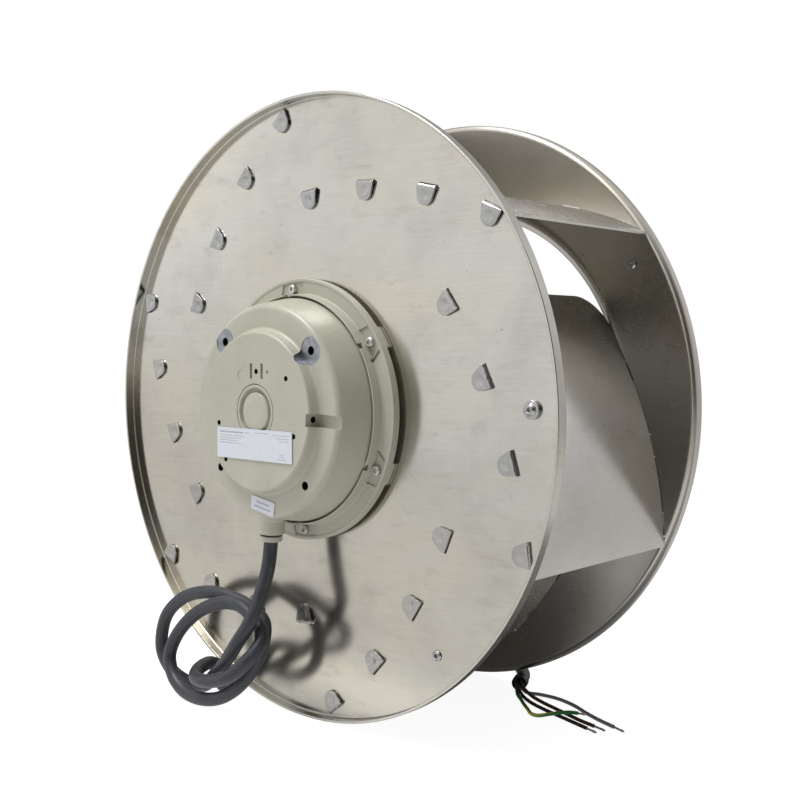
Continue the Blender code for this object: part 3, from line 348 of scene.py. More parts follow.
def facing(across: Vector, ahead: Vector, up: Vector, origin: Vector) -> Matrix:
    """Matrix whose columns are the three directions and the origin.

    Args:
        across: where X goes.
        ahead: where Y goes.
        up: where Z goes.
        origin: where the origin goes.

    Returns:
        The matrix.
    """
    return Matrix(
        (
            (across.x, ahead.x, up.x, origin.x),
            (across.y, ahead.y, up.y, origin.y),
            (across.z, ahead.z, up.z, origin.z),
            (0, 0, 0, 1),
        )
    )


# Finishes


class Recipe:
    """Lays out one procedural material's nodes."""

    def __init__(self, name: str) -> None:
        """Starts a material with a plain shader.

        Args:
            name: the material's name.
        """
        self.material = bpy.data.materials.new(name)
        self.material.use_nodes = True
        self.tree = self.material.node_tree
        self.shader = self.tree.nodes["Principled BSDF"]

    def node(self, kind: str, **settings: object) -> bpy.types.Node:
        """Adds a node and sets its properties.

        Args:
            kind: its type, without ShaderNode.
            settings: its properties.

        Returns:
            The node.
        """
        made = self.tree.nodes.new("ShaderNode" + kind)
        for name, value in settings.items():
            setattr(made, name, value)
        return made

    def feed(self, socket: Socket, value: object) -> None:
        """Links a socket, or sets its value where the value isn't a socket.

        Args:
            socket: the input.
            value: the output or the value that it gets.
        """
        if isinstance(value, Socket):
            self.tree.links.new(value, socket)
        else:
            socket.default_value = value

    def set(self, **values: object) -> None:
        """Sets or links the shader's sockets, with _ for a space in their names."""
        for name, value in values.items():
            self.feed(self.shader.inputs[name.replace("_", " ")], value)

    def spot(self, scale: Colour = (1, 1, 1), wrap: bool = False) -> Socket:
        """Coordinates of the object, or of the piece's own wrap, scaled.

        Args:
            scale: how often the pattern repeats per metre along each axis.
            wrap: reads the piece's UV map, which follows its surface.

        Returns:
            The vector socket.
        """
        mapping = self.node("Mapping")
        self.feed(mapping.inputs["Vector"], self.node("TexCoord").outputs["UV" if wrap else "Object"])
        self.feed(mapping.inputs["Scale"], scale)
        return mapping.outputs["Vector"]

    def noise(
        self, vector: Socket, scale: float, detail: float = 4, rough: float = 0.5, bend: float = 0
    ) -> Socket:
        """Value of a noise pattern at a vector.

        Args:
            vector: where it is read.
            scale: repeats per unit of the vector.
            detail: how many finer layers it has.
            rough: strength of the finer layers.
            bend: how far it is warped.

        Returns:
            The value's socket.
        """
        made = self.node("TexNoise")
        names = ("Vector", "Scale", "Detail", "Roughness", "Distortion")
        for name, value in zip(names, (vector, scale, detail, rough, bend)):
            self.feed(made.inputs[name], value)
        return made.outputs["Fac"]

    def lay(
        self, value: Socket, low: float, high: float, start: float = 0.0, end: float = 1.0
    ) -> Socket:
        """Maps a value from one range to another and clamps it.

        Args:
            value: the value's socket.
            low: where its range starts.
            high: where its range ends.
            start: result at the low end.
            end: result at the high end.

        Returns:
            The result's socket.
        """
        made = self.node("MapRange")
        names = ("Value", "From Min", "From Max", "To Min", "To Max")
        for name, number in zip(names, (value, low, high, start, end)):
            self.feed(made.inputs[name], number)
        return made.outputs["Result"]

    def maths(self, how: str, a: Socket | float, b: Socket | float = 0.0) -> Socket:
        """Result of one arithmetic step.

        Args:
            how: the operation.
            a: its first value.
            b: its second value, where it has one.

        Returns:
            The result's socket.
        """
        made = self.node("Math", operation=how)
        self.feed(made.inputs[0], a)
        self.feed(made.inputs[1], b)
        return made.outputs["Value"]

    def blend(self, factor: Socket, a: Socket | Colour, b: Socket | Colour) -> Socket:
        """Mix of two colours.

        Args:
            factor: share of the second colour.
            a: the first colour.
            b: the second colour.

        Returns:
            The mixed colour's socket.
        """
        made = self.node("Mix", data_type="RGBA")
        self.feed(made.inputs["Factor"], factor)
        for socket, value in ((made.inputs[6], a), (made.inputs[7], b)):
            self.feed(socket, (*value, 1.0) if isinstance(value, tuple) else value)
        return made.outputs[2]

    def relief(
        self, height: Socket, depth: float, strength: float = 1.0, below: Socket | None = None
    ) -> Socket:
        """Normal of a surface with a height pattern.

        Args:
            height: the pattern's socket.
            depth: its depth in metres.
            strength: share of it that shows.
            below: normal of the relief that it lies on, where there is one.

        Returns:
            The normal's socket.
        """
        made = self.node("Bump")
        self.feed(made.inputs["Height"], height)
        self.feed(made.inputs["Distance"], depth)
        self.feed(made.inputs["Strength"], strength)
        if below is not None:
            self.feed(made.inputs["Normal"], below)
        return made.outputs["Normal"]


class Grain(Enum):
    """Direction of a sheet's rolling lines, as repeats per metre along each axis."""

    ACROSS = (30.0, 950.0, 950.0)
    ALONG_AXIS = (950.0, 30.0, 950.0)


@dataclass(frozen=True)
class RolledSheet:
    """Mill-finish aluminium sheet with rolling lines, stains and scuffs."""

    name: str
    grain: Grain
    colour: Colour = (0.565, 0.553, 0.505)
    warm: Colour = (0.58, 0.543, 0.46)
    dull: Colour = (0.43, 0.415, 0.39)
    roughness: float = 0.165
    smudges: float = 0.32
    line_depth: float = 0.0005 * MM
    dent_scale: float = 7.0
    dent_depth: float = 0.25 * MM
    smudged: Colour = (0.2, 0.19, 0.17)
    pitted: Colour = (0.1, 0.1, 0.1)
    drawn: Colour = (0.8, 0.79, 0.77)
    draw: float = 0.7

    def build(self) -> Material:
        """Makes the sheet's material.

        Returns:
            The material.
        """
        recipe = Recipe(self.name)
        flat = recipe.spot()
        across_grain = self.grain is Grain.ACROSS
        stretched = recipe.spot((1, 2.6, 2.6) if across_grain else (2.6, 1, 2.6))
        lines = recipe.noise(recipe.spot(self.grain.value), 1.0, 4, 0.6)
        broad = recipe.noise(stretched, 3.4, 3, 0.5, 0.3)
        clouds = recipe.noise(flat, 14.0, 6, 0.62, 0.3)
        smears = recipe.noise(stretched, 22.0, 5, 0.62, 0.3)
        dots = recipe.noise(flat, 240.0, 1, 0.5)
        colour = recipe.blend(recipe.lay(broad, 0.38, 0.62), self.colour, self.warm)
        colour = recipe.blend(recipe.lay(clouds, 0.45, 0.72, 0, 0.6), colour, self.dull)
        marks = recipe.lay(smears, 0.56, 0.82, 0, self.smudges)
        colour = recipe.blend(marks, colour, self.smudged)
        colour = recipe.blend(recipe.lay(dots, 0.775, 0.82, 0, self.smudges), colour, self.pitted)
        colour = recipe.blend(recipe.lay(lines, 0.35, 0.7, 0, 0.12), colour, self.drawn)
        recipe.set(Base_Color=colour, Metallic=1.0)
        patches = recipe.lay(clouds, 0.3, 0.75, self.roughness - 0.02, self.roughness + 0.05)
        rough = recipe.maths("ADD", patches, recipe.lay(lines, 0.3, 0.7, -0.008, 0.01))
        recipe.set(Roughness=recipe.maths("ADD", rough, recipe.maths("MULTIPLY", marks, 0.3)))
        across = recipe.node(
            "VectorTransform", vector_type="VECTOR", convert_from="OBJECT", convert_to="WORLD"
        )
        across.inputs[0].default_value = (0, 0, 1) if across_grain else (1, 0, 0)
        recipe.set(Anisotropic=self.draw, Tangent=across.outputs[0])
        normal = recipe.relief(recipe.noise(flat, self.dent_scale, 1, 0.4), self.dent_depth)
        if self.line_depth:
            normal = recipe.relief(lines, self.line_depth, 1.0, normal)
        recipe.set(Normal=normal)
        return recipe.material


@dataclass(frozen=True)
class CastPaint:
    """Satin paint over a die casting, with a faint orange-peel skin and handling dust."""

    name: str
    colour: Colour = (0.455, 0.447, 0.365)
    roughness: float = 0.3
    dusty: float = 1.13
    handled: Colour = (0.86, 0.87, 0.93)

    def build(self) -> Material:
        """Makes the paint's material.

        Returns:
            The material.
        """
        recipe = Recipe(self.name)
        flat = recipe.spot()
        peel = recipe.noise(flat, 620.0, 2, 0.45)
        sand = recipe.noise(flat, 95.0, 5, 0.6)
        dust = recipe.noise(flat, 16.0, 4, 0.6, 0.4)
        paler = tuple(min(1.0, part * self.dusty) for part in self.colour)
        greyer = tuple(part * share for part, share in zip(self.colour, self.handled))
        colour = recipe.blend(recipe.lay(dust, 0.38, 0.72), self.colour, paler)
        colour = recipe.blend(recipe.lay(sand, 0.58, 0.8, 0, 0.5), colour, greyer)
        recipe.set(Base_Color=colour, Metallic=0.0)
        recipe.set(Roughness=recipe.lay(dust, 0.3, 0.75, self.roughness - 0.05, self.roughness + 0.13))
        swell = recipe.relief(sand, 0.05 * MM, 0.5)
        recipe.set(Normal=recipe.relief(peel, 0.02 * MM, 0.8, swell))
        return recipe.material


@dataclass(frozen=True)
class MachinedFace:
    """Bare metal with rings left by the cutter round each hole."""

    name: str
    middles: tuple[tuple[float, float], ...]
    colour: Colour = (0.36, 0.37, 0.405)
    stained: Colour = (0.23, 0.24, 0.265)
    feed_mark: float = 0.55 * MM

    def build(self) -> Material:
        """Makes the machined metal's material.

        Returns:
            The material.
        """
        recipe = Recipe(self.name)
        nearest = None
        for x, z in self.middles:
            away = recipe.node("VectorMath", operation="DISTANCE")
            flat = recipe.node("VectorMath", operation="MULTIPLY")
            recipe.feed(flat.inputs[0], recipe.spot())
            flat.inputs[1].default_value = (1, 0, 1)
            recipe.feed(away.inputs[0], flat.outputs["Vector"])
            away.inputs[1].default_value = (x, 0, z)
            far = away.outputs["Value"]
            nearest = far if nearest is None else recipe.maths("MINIMUM", nearest, far)
        rings = recipe.maths("SINE", recipe.maths("MULTIPLY", nearest, 2 * math.pi / self.feed_mark))
        stain = recipe.noise(recipe.spot(), 160.0, 4, 0.6)
        colour = recipe.blend(recipe.lay(stain, 0.4, 0.7), self.colour, self.stained)
        recipe.set(Base_Color=colour, Metallic=1.0)
        recipe.set(Roughness=recipe.lay(stain, 0.3, 0.7, 0.3, 0.45))
        recipe.set(Normal=recipe.relief(rings, 0.02 * MM, 0.7))
        return recipe.material


@dataclass(frozen=True)
class Steel:
    """Bright steel with a thin uneven skin, as on plated or ground parts."""

    name: str
    colour: Colour = (0.6, 0.6, 0.62)
    tarnish: Colour = (0.4, 0.38, 0.35)
    roughness: float = 0.26
    scale: float = 260.0

    def build(self) -> Material:
        """Makes the steel's material.

        Returns:
            The material.
        """
        recipe = Recipe(self.name)
        skin = recipe.noise(recipe.spot(), self.scale, 4, 0.6)
        fine = recipe.noise(recipe.spot(), self.scale * 6, 3, 0.5)
        colour = recipe.blend(recipe.lay(skin, 0.45, 0.75), self.colour, self.tarnish)
        recipe.set(Base_Color=colour, Metallic=1.0)
        recipe.set(Roughness=recipe.lay(skin, 0.3, 0.7, self.roughness - 0.06, self.roughness + 0.12))
        recipe.set(Normal=recipe.relief(fine, 0.008 * MM, 0.8))
        return recipe.material


@dataclass(frozen=True)
class Laminations:
    """Stack of thin steel sheets, seen as fine lines along the axis."""

    name: str
    colour: Colour = (0.2, 0.2, 0.21)
    rusty: Colour = (0.2, 0.13, 0.09)
    scale: float = 320.0

    def build(self) -> Material:
        """Makes the stack's material.

        Returns:
            The material.
        """
        recipe = Recipe(self.name)
        wave = recipe.node("TexWave", bands_direction="Y", wave_profile="SAW")
        recipe.feed(wave.inputs["Vector"], recipe.spot())
        wave.inputs["Scale"].default_value = self.scale
        wave.inputs["Distortion"].default_value = 0.6
        rust = recipe.noise(recipe.spot(), 90.0, 5, 0.6)
        colour = recipe.blend(recipe.lay(rust, 0.5, 0.75), self.colour, self.rusty)
        recipe.set(Base_Color=colour, Metallic=0.85)
        recipe.set(Roughness=recipe.lay(rust, 0.3, 0.7, 0.35, 0.6))
        recipe.set(Normal=recipe.relief(wave.outputs["Fac"], 0.05 * MM, 0.8))
        return recipe.material


@dataclass(frozen=True)
class VarnishedWire:
    """Coil of enamelled copper wire under clear varnish."""

    name: str
    gap: Colour = (0.32, 0.1, 0.03)
    wire: Colour = (0.62, 0.27, 0.1)

    def build(self) -> Material:
        """Makes the winding's material.

        Returns:
            The material.
        """
        recipe = Recipe(self.name)
        strands = recipe.noise(recipe.spot((60, 900, 60)), 1.0, 3, 0.5, 0.4)
        drip = recipe.noise(recipe.spot(), 70.0, 3, 0.5)
        colour = recipe.blend(recipe.lay(strands, 0.35, 0.65), self.gap, self.wire)
        recipe.set(Base_Color=colour, Metallic=0.9, Coat_Weight=0.6, Coat_Roughness=0.15)
        recipe.set(Roughness=recipe.lay(drip, 0.3, 0.7, 0.25, 0.45))
        recipe.set(Normal=recipe.relief(strands, 0.25 * MM, 0.9))
        return recipe.material


@dataclass(frozen=True)
class PaleFilm:
    """Bare label film: satin white with faint grey rules and a little dust."""

    name: str
    middle: tuple[float, float]
    turn: float
    rules: tuple[tuple[float, float, float, float], ...] = ()
    film: Colour = (0.71, 0.73, 0.79)
    dusty: Colour = (0.6, 0.61, 0.64)
    ink: Colour = (0.2, 0.2, 0.23)

    def build(self) -> Material:
        """Makes the film's material.

        Returns:
            The material.
        """
        recipe = Recipe(self.name)
        mapping = recipe.node("Mapping", vector_type="TEXTURE")
        recipe.feed(mapping.inputs["Vector"], recipe.node("TexCoord").outputs["Object"])
        mapping.inputs["Location"].default_value = (self.middle[0] * MM, 0, self.middle[1] * MM)
        mapping.inputs["Rotation"].default_value = (0, math.radians(-self.turn), 0)
        parts = recipe.node("SeparateXYZ")
        recipe.feed(parts.inputs[0], mapping.outputs["Vector"])
        inked = None
        for left, right, height, thick in self.rules:
            middle = (left + right) / 2 * MM
            along = recipe.maths("ABSOLUTE", recipe.maths("SUBTRACT", parts.outputs[0], middle))
            across = recipe.maths("ABSOLUTE", recipe.maths("SUBTRACT", parts.outputs[2], height * MM))
            inside = recipe.maths(
                "MULTIPLY",
                recipe.maths("LESS_THAN", along, (right - left) / 2 * MM),
                recipe.maths("LESS_THAN", across, thick / 2 * MM),
            )
            inked = inside if inked is None else recipe.maths("MAXIMUM", inked, inside)
        dust = recipe.noise(recipe.spot(), 110.0, 4, 0.6)
        colour = recipe.blend(recipe.lay(dust, 0.5, 0.8, 0, 0.5), self.film, self.dusty)
        if inked is not None:
            fade = recipe.noise(recipe.spot(), 900.0, 2, 0.5)
            shown = recipe.maths("MULTIPLY", inked, recipe.lay(fade, 0.35, 0.6, 0.25, 0.75))
            colour = recipe.blend(shown, colour, self.ink)
        recipe.set(Base_Color=colour, Coat_Weight=0.25, Coat_Roughness=0.2)
        recipe.set(Roughness=recipe.lay(dust, 0.3, 0.7, 0.34, 0.46))
        recipe.set(Normal=recipe.relief(recipe.noise(recipe.spot(), 60.0, 2), 0.1 * MM, 0.4))
        return recipe.material


@dataclass(frozen=True)
class Sheath:
    """Soft plastic or rubber skin drawn along a cable, with scuffs that follow it."""

    name: str
    colour: Colour
    scuffed: Colour
    roughness: float = 0.42
    stripe: Colour | None = None
    radius: float = 6.3 * MM
    twist: float = 9.0

    def build(self) -> Material:
        """Makes the skin's material; its wrap's U runs along and its V round, both in metres.

        Returns:
            The material.
        """
        recipe = Recipe(self.name)
        die_lines = recipe.noise(recipe.spot((14, 1500, 1), wrap=True), 1.0, 3, 0.55)
        rubbed = recipe.noise(recipe.spot((60, 120, 1), wrap=True), 1.0, 5, 0.62, 0.4)
        colour = recipe.blend(recipe.lay(rubbed, 0.5, 0.78, 0, 0.8), self.colour, self.scuffed)
        if self.stripe:
            parts = recipe.node("SeparateXYZ")
            recipe.feed(parts.inputs[0], recipe.spot(wrap=True))
            turn = recipe.maths("DIVIDE", parts.outputs[1], 2 * math.pi * self.radius)
            turn = recipe.maths("ADD", turn, recipe.maths("MULTIPLY", parts.outputs[0], self.twist))
            edge = recipe.maths("ABSOLUTE", recipe.maths("SUBTRACT", recipe.maths("FRACT", turn), 0.5))
            colour = recipe.blend(recipe.lay(edge, 0.14, 0.155, 1, 0), colour, self.stripe)
        recipe.set(Base_Color=colour)
        low, high = self.roughness - 0.06, self.roughness + 0.14
        recipe.set(Roughness=recipe.lay(rubbed, 0.3, 0.75, low, high))
        swell = recipe.relief(rubbed, 0.06 * MM, 0.6)
        recipe.set(Normal=recipe.relief(die_lines, 0.03 * MM, 0.6, swell))
        return recipe.material


@dataclass(frozen=True)
class WoundTape:
    """Plastic tape wound at a slant, with the edge of each turn standing up."""

    name: str
    colour: Colour = (0.012, 0.012, 0.014)
    creased: Colour = (0.035, 0.035, 0.038)
    turns: float = 190.0
    slant: float = 22.0

    def build(self) -> Material:
        """Makes the tape's material.

        Returns:
            The material.
        """
        recipe = Recipe(self.name)
        parts = recipe.node("SeparateXYZ")
        recipe.feed(parts.inputs[0], recipe.spot(wrap=True))
        along = recipe.maths("MULTIPLY", parts.outputs[0], self.turns)
        lap = recipe.maths(
            "FRACT", recipe.maths("ADD", along, recipe.maths("MULTIPLY", parts.outputs[1], self.slant))
        )
        crease = recipe.noise(recipe.spot(), 320.0, 3, 0.5)
        colour = recipe.blend(recipe.lay(crease, 0.4, 0.75), self.colour, self.creased)
        recipe.set(Base_Color=colour)
        recipe.set(Roughness=recipe.lay(crease, 0.3, 0.7, 0.28, 0.42))
        recipe.set(Normal=recipe.relief(lap, 0.16 * MM, 0.8, recipe.relief(crease, 0.1 * MM, 0.5)))
        return recipe.material


@dataclass(frozen=True)
class StudioFloor:
    """Pale matt floor, lit from below like a light table.

    What metal mirrors of it is dimmer far off, with a painted shadow under the wheel and a painted pool
    of light before its plate.
    """

    name: str
    pale: Colour = (0.31, 0.31, 0.31)
    worn: Colour = (0.29, 0.29, 0.29)
    lit: float = 0.6
    shown: float = 0.32
    mirrored: float = -0.18
    # Painted shadow and painted light that only reflections of the floor show.
    painted_shadow_under_wheel: float = -0.56
    painted_light_before_plate: float = 0.56
    wheel_middle: float = 0.2
    wheel_fade: tuple[float, float] = (0.17, 0.26)
    plate_fade: tuple[float, float] = (0.02, 0.12)

    def build(self) -> Material:
        """Makes the floor's material.

        Returns:
            The material.
        """
        recipe = Recipe(self.name)
        tone = recipe.noise(recipe.spot(), 1.2, 2)
        recipe.set(Base_Color=recipe.blend(tone, self.worn, self.pale))
        recipe.set(Roughness=0.75, Specular_IOR_Level=0.2, Emission_Color=(1, 1, 1, 1))
        rays = recipe.node("LightPath")
        seen, glossy = rays.outputs["Is Camera Ray"], rays.outputs["Is Glossy Ray"]
        split = recipe.node("SeparateXYZ")
        recipe.feed(split.inputs[0], recipe.spot())
        along_axis = split.outputs["Y"]
        beside = recipe.maths("ABSOLUTE", recipe.maths("ADD", along_axis, -self.wheel_middle))
        # Painted shadow: in reflections the floor glows less near the wheel, where the wheel's shadow
        # falls.
        shade = recipe.lay(beside, *self.wheel_fade, self.painted_shadow_under_wheel, self.mirrored)
        # Painted pool of light: in reflections the floor glows more just before the plate.
        before = recipe.maths("ABSOLUTE", along_axis)
        bloom = recipe.lay(before, *self.plate_fade, self.painted_light_before_plate, 0)
        near = recipe.maths("MULTIPLY", glossy, recipe.maths("ADD", shade, bloom))
        glow = recipe.lay(seen, 0, 1, self.lit, self.lit + self.shown)
        recipe.set(Emission_Strength=recipe.maths("ADD", glow, near))
        return recipe.material


class Finishes:
    """Every finish that the fan's pieces share."""

    def __init__(self) -> None:
        """Builds the shared materials once."""
        self.plate = RolledSheet("plate_sheet", Grain.ACROSS).build()
        self.shroud = RolledSheet(
            "shroud_sheet", Grain.ACROSS, (0.545, 0.525, 0.49), (0.565, 0.515, 0.44),
            (0.41, 0.39, 0.355), roughness=0.24, smudges=0.15, line_depth=0.0,
        ).build()
        self.blade = RolledSheet(
            "blade_sheet_metal", Grain.ALONG_AXIS, (0.64, 0.635, 0.615), (0.65, 0.625, 0.57),
            (0.5, 0.49, 0.465), roughness=0.24, smudges=0.15, line_depth=0.0,
        ).build()
        # The tabs' sheet is a darker copy of the wheel's sheet: its dark base colour is painted shade
        # for the darker surroundings that the bent tabs mirror, while its dents and higher roughness
        # are the hammered finish.
        self.tab = RolledSheet(
            "hammered_tab_painted_shade", Grain.ACROSS, (0.4, 0.4, 0.4), (0.43, 0.42, 0.39), (0.24, 0.24, 0.24),
            roughness=0.24, smudges=0.5, line_depth=0.0, dent_scale=190.0, dent_depth=0.6 * MM,
        ).build()
        self.casting = CastPaint("stator_paint").build()
        self.rotor = CastPaint("rotor_paint", (0.46, 0.45, 0.372), 0.38).build()
        self.screw = Steel("zinc_plate", (0.72, 0.72, 0.7), (0.5, 0.5, 0.48), 0.42).build()
        self.rivet = Steel("rivet_metal", (0.46, 0.46, 0.46), (0.33, 0.32, 0.31), 0.24, 420.0).build()
        self.ground = Steel("ground_steel", (0.62, 0.62, 0.64), (0.5, 0.49, 0.47), 0.2, 180.0).build()
        self.stack = Laminations("lamination_stack").build()
        self.wire = VarnishedWire("varnished_wire").build()
        self.rubber = Sheath("seal_rubber", (0.014, 0.014, 0.014), (0.03, 0.03, 0.03), 0.6).build()


def dress(piece: Piece, material: Material) -> Piece:
    """Gives a new piece one material all over.

    Args:
        piece: the piece.
        material: its material.

    Returns:
        The same piece.
    """
    piece.data.materials.clear()
    piece.data.materials.append(material)
    return piece


def hand_over(piece: Piece, body: str, slot: str, *nodes: str) -> None:
    """Lets a piece ride on a body and stand for its CAD nodes.

    Args:
        piece: the finished piece.
        body: the CAD body that carries it.
        slot: a material slot's name; not used.
        nodes: the CAD nodes that it replaces.
    """
    finish_with(piece, "WEIGHTED_NORMAL", keep_sharp=True)
    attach(piece, body)
    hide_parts(*nodes)
    LOG.info("%s stands for %s", piece.name, ", ".join(nodes))


# Studio


@dataclass
class Studio:
    """Camera, soft lights, white surroundings and the pale floor."""

    eye: tuple[float, float, float] = (0.742, -0.6237, 0.0577)
    azimuth: float = 42.91
    elevation: float = 2.84
    lens: float = 49.77
    floor_height: float = -280.05 * MM
    room: float = 0.05
    panels: tuple[Panel, ...] = (
        (0.95, 0.45, 0.93, (-0.52, -0.76, 0.48)),
        (0.32, 0.955, 0.99, (-0.87, -0.42, 0.24)),
        (0.48, 0.5, 0.95, (0.72, 0.68, 0.1)),
        (0.4, 0.6, 0.95, (-0.1, 0.78, 0.6)),
        (0.7, 0.6, 0.9, (0.0, -0.1, 1.0)),
    )
    paint_room: float = 0.04
    paint_panels: tuple[Panel, ...] = (
        (0.9, 0.1, 0.85, (-0.45, 0.0, 1.0)),
        (0.28, 0.1, 0.9, (-0.6, -0.7, -0.2)),
    )
    floor_side: float = 3.6
    softbox_at: tuple[float, float, float] = (-0.35, -0.55, 1.75)
    softbox_aim: tuple[float, float, float] = (0, 0.1, 0)
    softbox_side: float = 0.8
    softbox_power: float = 26.0

    def set_camera(self) -> None:
        """Puts the camera where the photograph was taken."""
        across, up = math.radians(self.azimuth), math.radians(self.elevation)
        level = math.cos(up)
        look = Vector((-math.sin(across) * level, math.cos(across) * level, -math.sin(up)))
        data = bpy.data.cameras.new("camera")
        data.lens, data.sensor_width = self.lens, 36.0
        data.clip_start = 0.01
        camera = bpy.data.objects.new("camera", data)
        camera.location = self.eye
        camera.rotation_euler = look.to_track_quat("-Z", "Y").to_euler()
        bpy.context.scene.collection.objects.link(camera)
        bpy.context.scene.camera = camera

    def glow(self, tree: bpy.types.NodeTree, room: float, panels: tuple[Panel, ...]) -> Socket:
        """Brightness of the surroundings in each direction.

        Args:
            tree: the world's nodes.
            room: brightness where no panel reaches.
            panels: each one's brightness, the cosines where it starts and is full, and its direction.

        Returns:
            The socket that gives the brightness.
        """
        heading = tree.nodes.new("ShaderNodeTexCoord").outputs["Generated"]
        found = None
        for share, start, end, aim in panels:
            facing_it = tree.nodes.new("ShaderNodeVectorMath")
            facing_it.operation = "DOT_PRODUCT"
            facing_it.inputs[1].default_value = Vector(aim).normalized()
            tree.links.new(heading, facing_it.inputs[0])
            fall = tree.nodes.new("ShaderNodeMapRange")
            fall.interpolation_type = "SMOOTHSTEP"
            tree.links.new(facing_it.outputs["Value"], fall.inputs["Value"])
            for name, value in (("From Min", start), ("From Max", end), ("To Max", share)):
                fall.inputs[name].default_value = value
            total = tree.nodes.new("ShaderNodeMath")
            tree.links.new(fall.outputs["Result"], total.inputs[0])
            total.inputs[1].default_value = room
            if found is not None:
                tree.links.new(found, total.inputs[1])
            found = total.outputs["Value"]
        return found

    def set_surroundings(self) -> None:
        """White surroundings, which metal sees as panels in a dark room and paint as a top light."""
        world = bpy.data.worlds.new("surroundings")
        world.use_nodes = True
        tree = world.node_tree
        background = tree.nodes["Background"]
        background.inputs["Color"].default_value = (1, 1, 1, 1)
        rays = tree.nodes.new("ShaderNodeLightPath")
        strength = tree.nodes.new("ShaderNodeMix")
        tree.links.new(rays.outputs["Is Glossy Ray"], strength.inputs[0])
        tree.links.new(self.glow(tree, self.paint_room, self.paint_panels), strength.inputs[2])
        tree.links.new(self.glow(tree, self.room, self.panels), strength.inputs[3])
        seen = tree.nodes.new("ShaderNodeMix")
        tree.links.new(rays.outputs["Is Camera Ray"], seen.inputs[0])
        tree.links.new(strength.outputs[0], seen.inputs[2])
        seen.inputs[3].default_value = 1.0
        tree.links.new(seen.outputs[0], background.inputs["Strength"])
        bpy.context.scene.world = world
        bpy.context.scene.view_settings.view_transform = "Standard"

    def lay_floor(self) -> None:
        """Pale floor under the fan."""
        deselect()
        bpy.ops.mesh.primitive_plane_add(size=self.floor_side, location=(0, 0, self.floor_height))
        floor = bpy.context.object
        with editing(floor):
            bpy.ops.mesh.select_all(action="SELECT")
            bpy.ops.mesh.subdivide(number_cuts=3)
        settle(floor, "floor")
        dress(floor, StudioFloor("floor_paint").build())

    def hang_softbox(self) -> None:
        """Hangs the soft light above the fan."""
        data = bpy.data.lights.new("top_softbox", "AREA")
        data.shape = "RECTANGLE"
        data.size = data.size_y = self.softbox_side
        data.energy = self.softbox_power
        lamp = bpy.data.objects.new("top_softbox", data)
        lamp.location = self.softbox_at
        way = Vector(self.softbox_aim) - Vector(self.softbox_at)
        lamp.rotation_euler = way.to_track_quat("-Z", "Y").to_euler()
        bpy.context.scene.collection.objects.link(lamp)

    def build(self) -> None:
        """Sets the whole studio up."""
        self.set_camera()
        self.set_surroundings()
        self.lay_floor()
        self.hang_softbox()


# Cable


def smooth_line(points: list[Vector], parts: int = 12) -> list[Vector]:
    """Smooth curve through the points, slower where they lie close together.

    Args:
        points: places to pass through, in order.
        parts: divisions between two points.

    Returns:
        The curve's points.
    """
    ends = [2 * points[0] - points[1], *points, 2 * points[-1] - points[-2]]
    line = []
    for a, b, c, d in zip(ends, ends[1:], ends[2:], ends[3:]):
        knots = [0.0]
        for p, q in ((a, b), (b, c), (c, d)):
            knots.append(knots[-1] + math.sqrt((q - p).length))
        for i in range(parts):
            t = knots[1] + (knots[2] - knots[1]) * i / parts
            ab = a.lerp(b, (t - knots[0]) / (knots[1] - knots[0]))
            bc = b.lerp(c, (t - knots[1]) / (knots[2] - knots[1]))
            cd = c.lerp(d, (t - knots[2]) / (knots[3] - knots[2]))
            near = ab.lerp(bc, (t - knots[0]) / (knots[2] - knots[0]))
            far = bc.lerp(cd, (t - knots[1]) / (knots[3] - knots[1]))
            line.append(near.lerp(far, (t - knots[1]) / (knots[2] - knots[1])))
    return line + [points[-1]]


def spaced(line: list[Vector], spacing: float) -> list[Vector]:
    """Points along a line about the spacing apart, with both its ends.

    Args:
        line: the line's points.
        spacing: the distance between two.

    Returns:
        The points.
    """
    lengths = [0.0]
    for p, q in zip(line, line[1:]):
        lengths.append(lengths[-1] + (q - p).length)
    count = max(1, round(lengths[-1] / spacing))
    found, i = [], 0
    for step in range(count):
        want = lengths[-1] * step / count
        while lengths[i + 1] < want:
            i += 1
        found.append(line[i].lerp(line[i + 1], (want - lengths[i]) / (lengths[i + 1] - lengths[i])))
    return found + [line[-1]]


def drawn_tube(name: str, line: list[Vector], radius: float, sides: int) -> Piece:
    """A round skin drawn along a line, whose wrap is in metres along and round it.

    Args:
        name: the piece's name.
        line: the points of its centreline.
        radius: its radius.
        sides: faces round it.

    Returns:
        The closed tube.
    """
    mesh = bmesh.new()
    wrap = mesh.loops.layers.uv.new("wrap")
    heading = (line[1] - line[0]).normalized()
    side = heading.orthogonal().normalized()
    rings, along = [], [0.0]
    for i, point in enumerate(line):
        ahead = (line[min(i + 1, len(line) - 1)] - line[max(i - 1, 0)]).normalized()
        side = heading.rotation_difference(ahead) @ side
        side = (side - ahead * side.dot(ahead)).normalized()
        heading = ahead
        if i:
            along.append(along[-1] + (point - line[i - 1]).length)
        other = ahead.cross(side)
        turns = [2 * math.pi * k / sides for k in range(sides)]
        spokes = [(side * math.cos(t) + other * math.sin(t)) * radius for t in turns]
        rings.append([mesh.verts.new(point + spoke) for spoke in spokes])
    girth = 2 * math.pi * radius
    for i, (this, after) in enumerate(zip(rings, rings[1:])):
        for k in range(sides):
            n = (k + 1) % sides
            face = mesh.faces.new((this[k], this[n], after[n], after[k]))
            corners = ((i, k), (i, k + 1), (i + 1, k + 1), (i + 1, k))
            for loop, (step, turn) in zip(face.loops, corners):
                loop[wrap].uv = (along[step], girth * turn / sides)
    mesh.faces.new(reversed(rings[0]))
    mesh.faces.new(rings[-1])
    bmesh.ops.recalc_face_normals(mesh, faces=mesh.faces)
    data = bpy.data.meshes.new(name)
    mesh.to_mesh(data)
    mesh.free()
    made = bpy.data.objects.new(name, data)
    bpy.context.scene.collection.objects.link(made)
    return settle(made, name, 50)


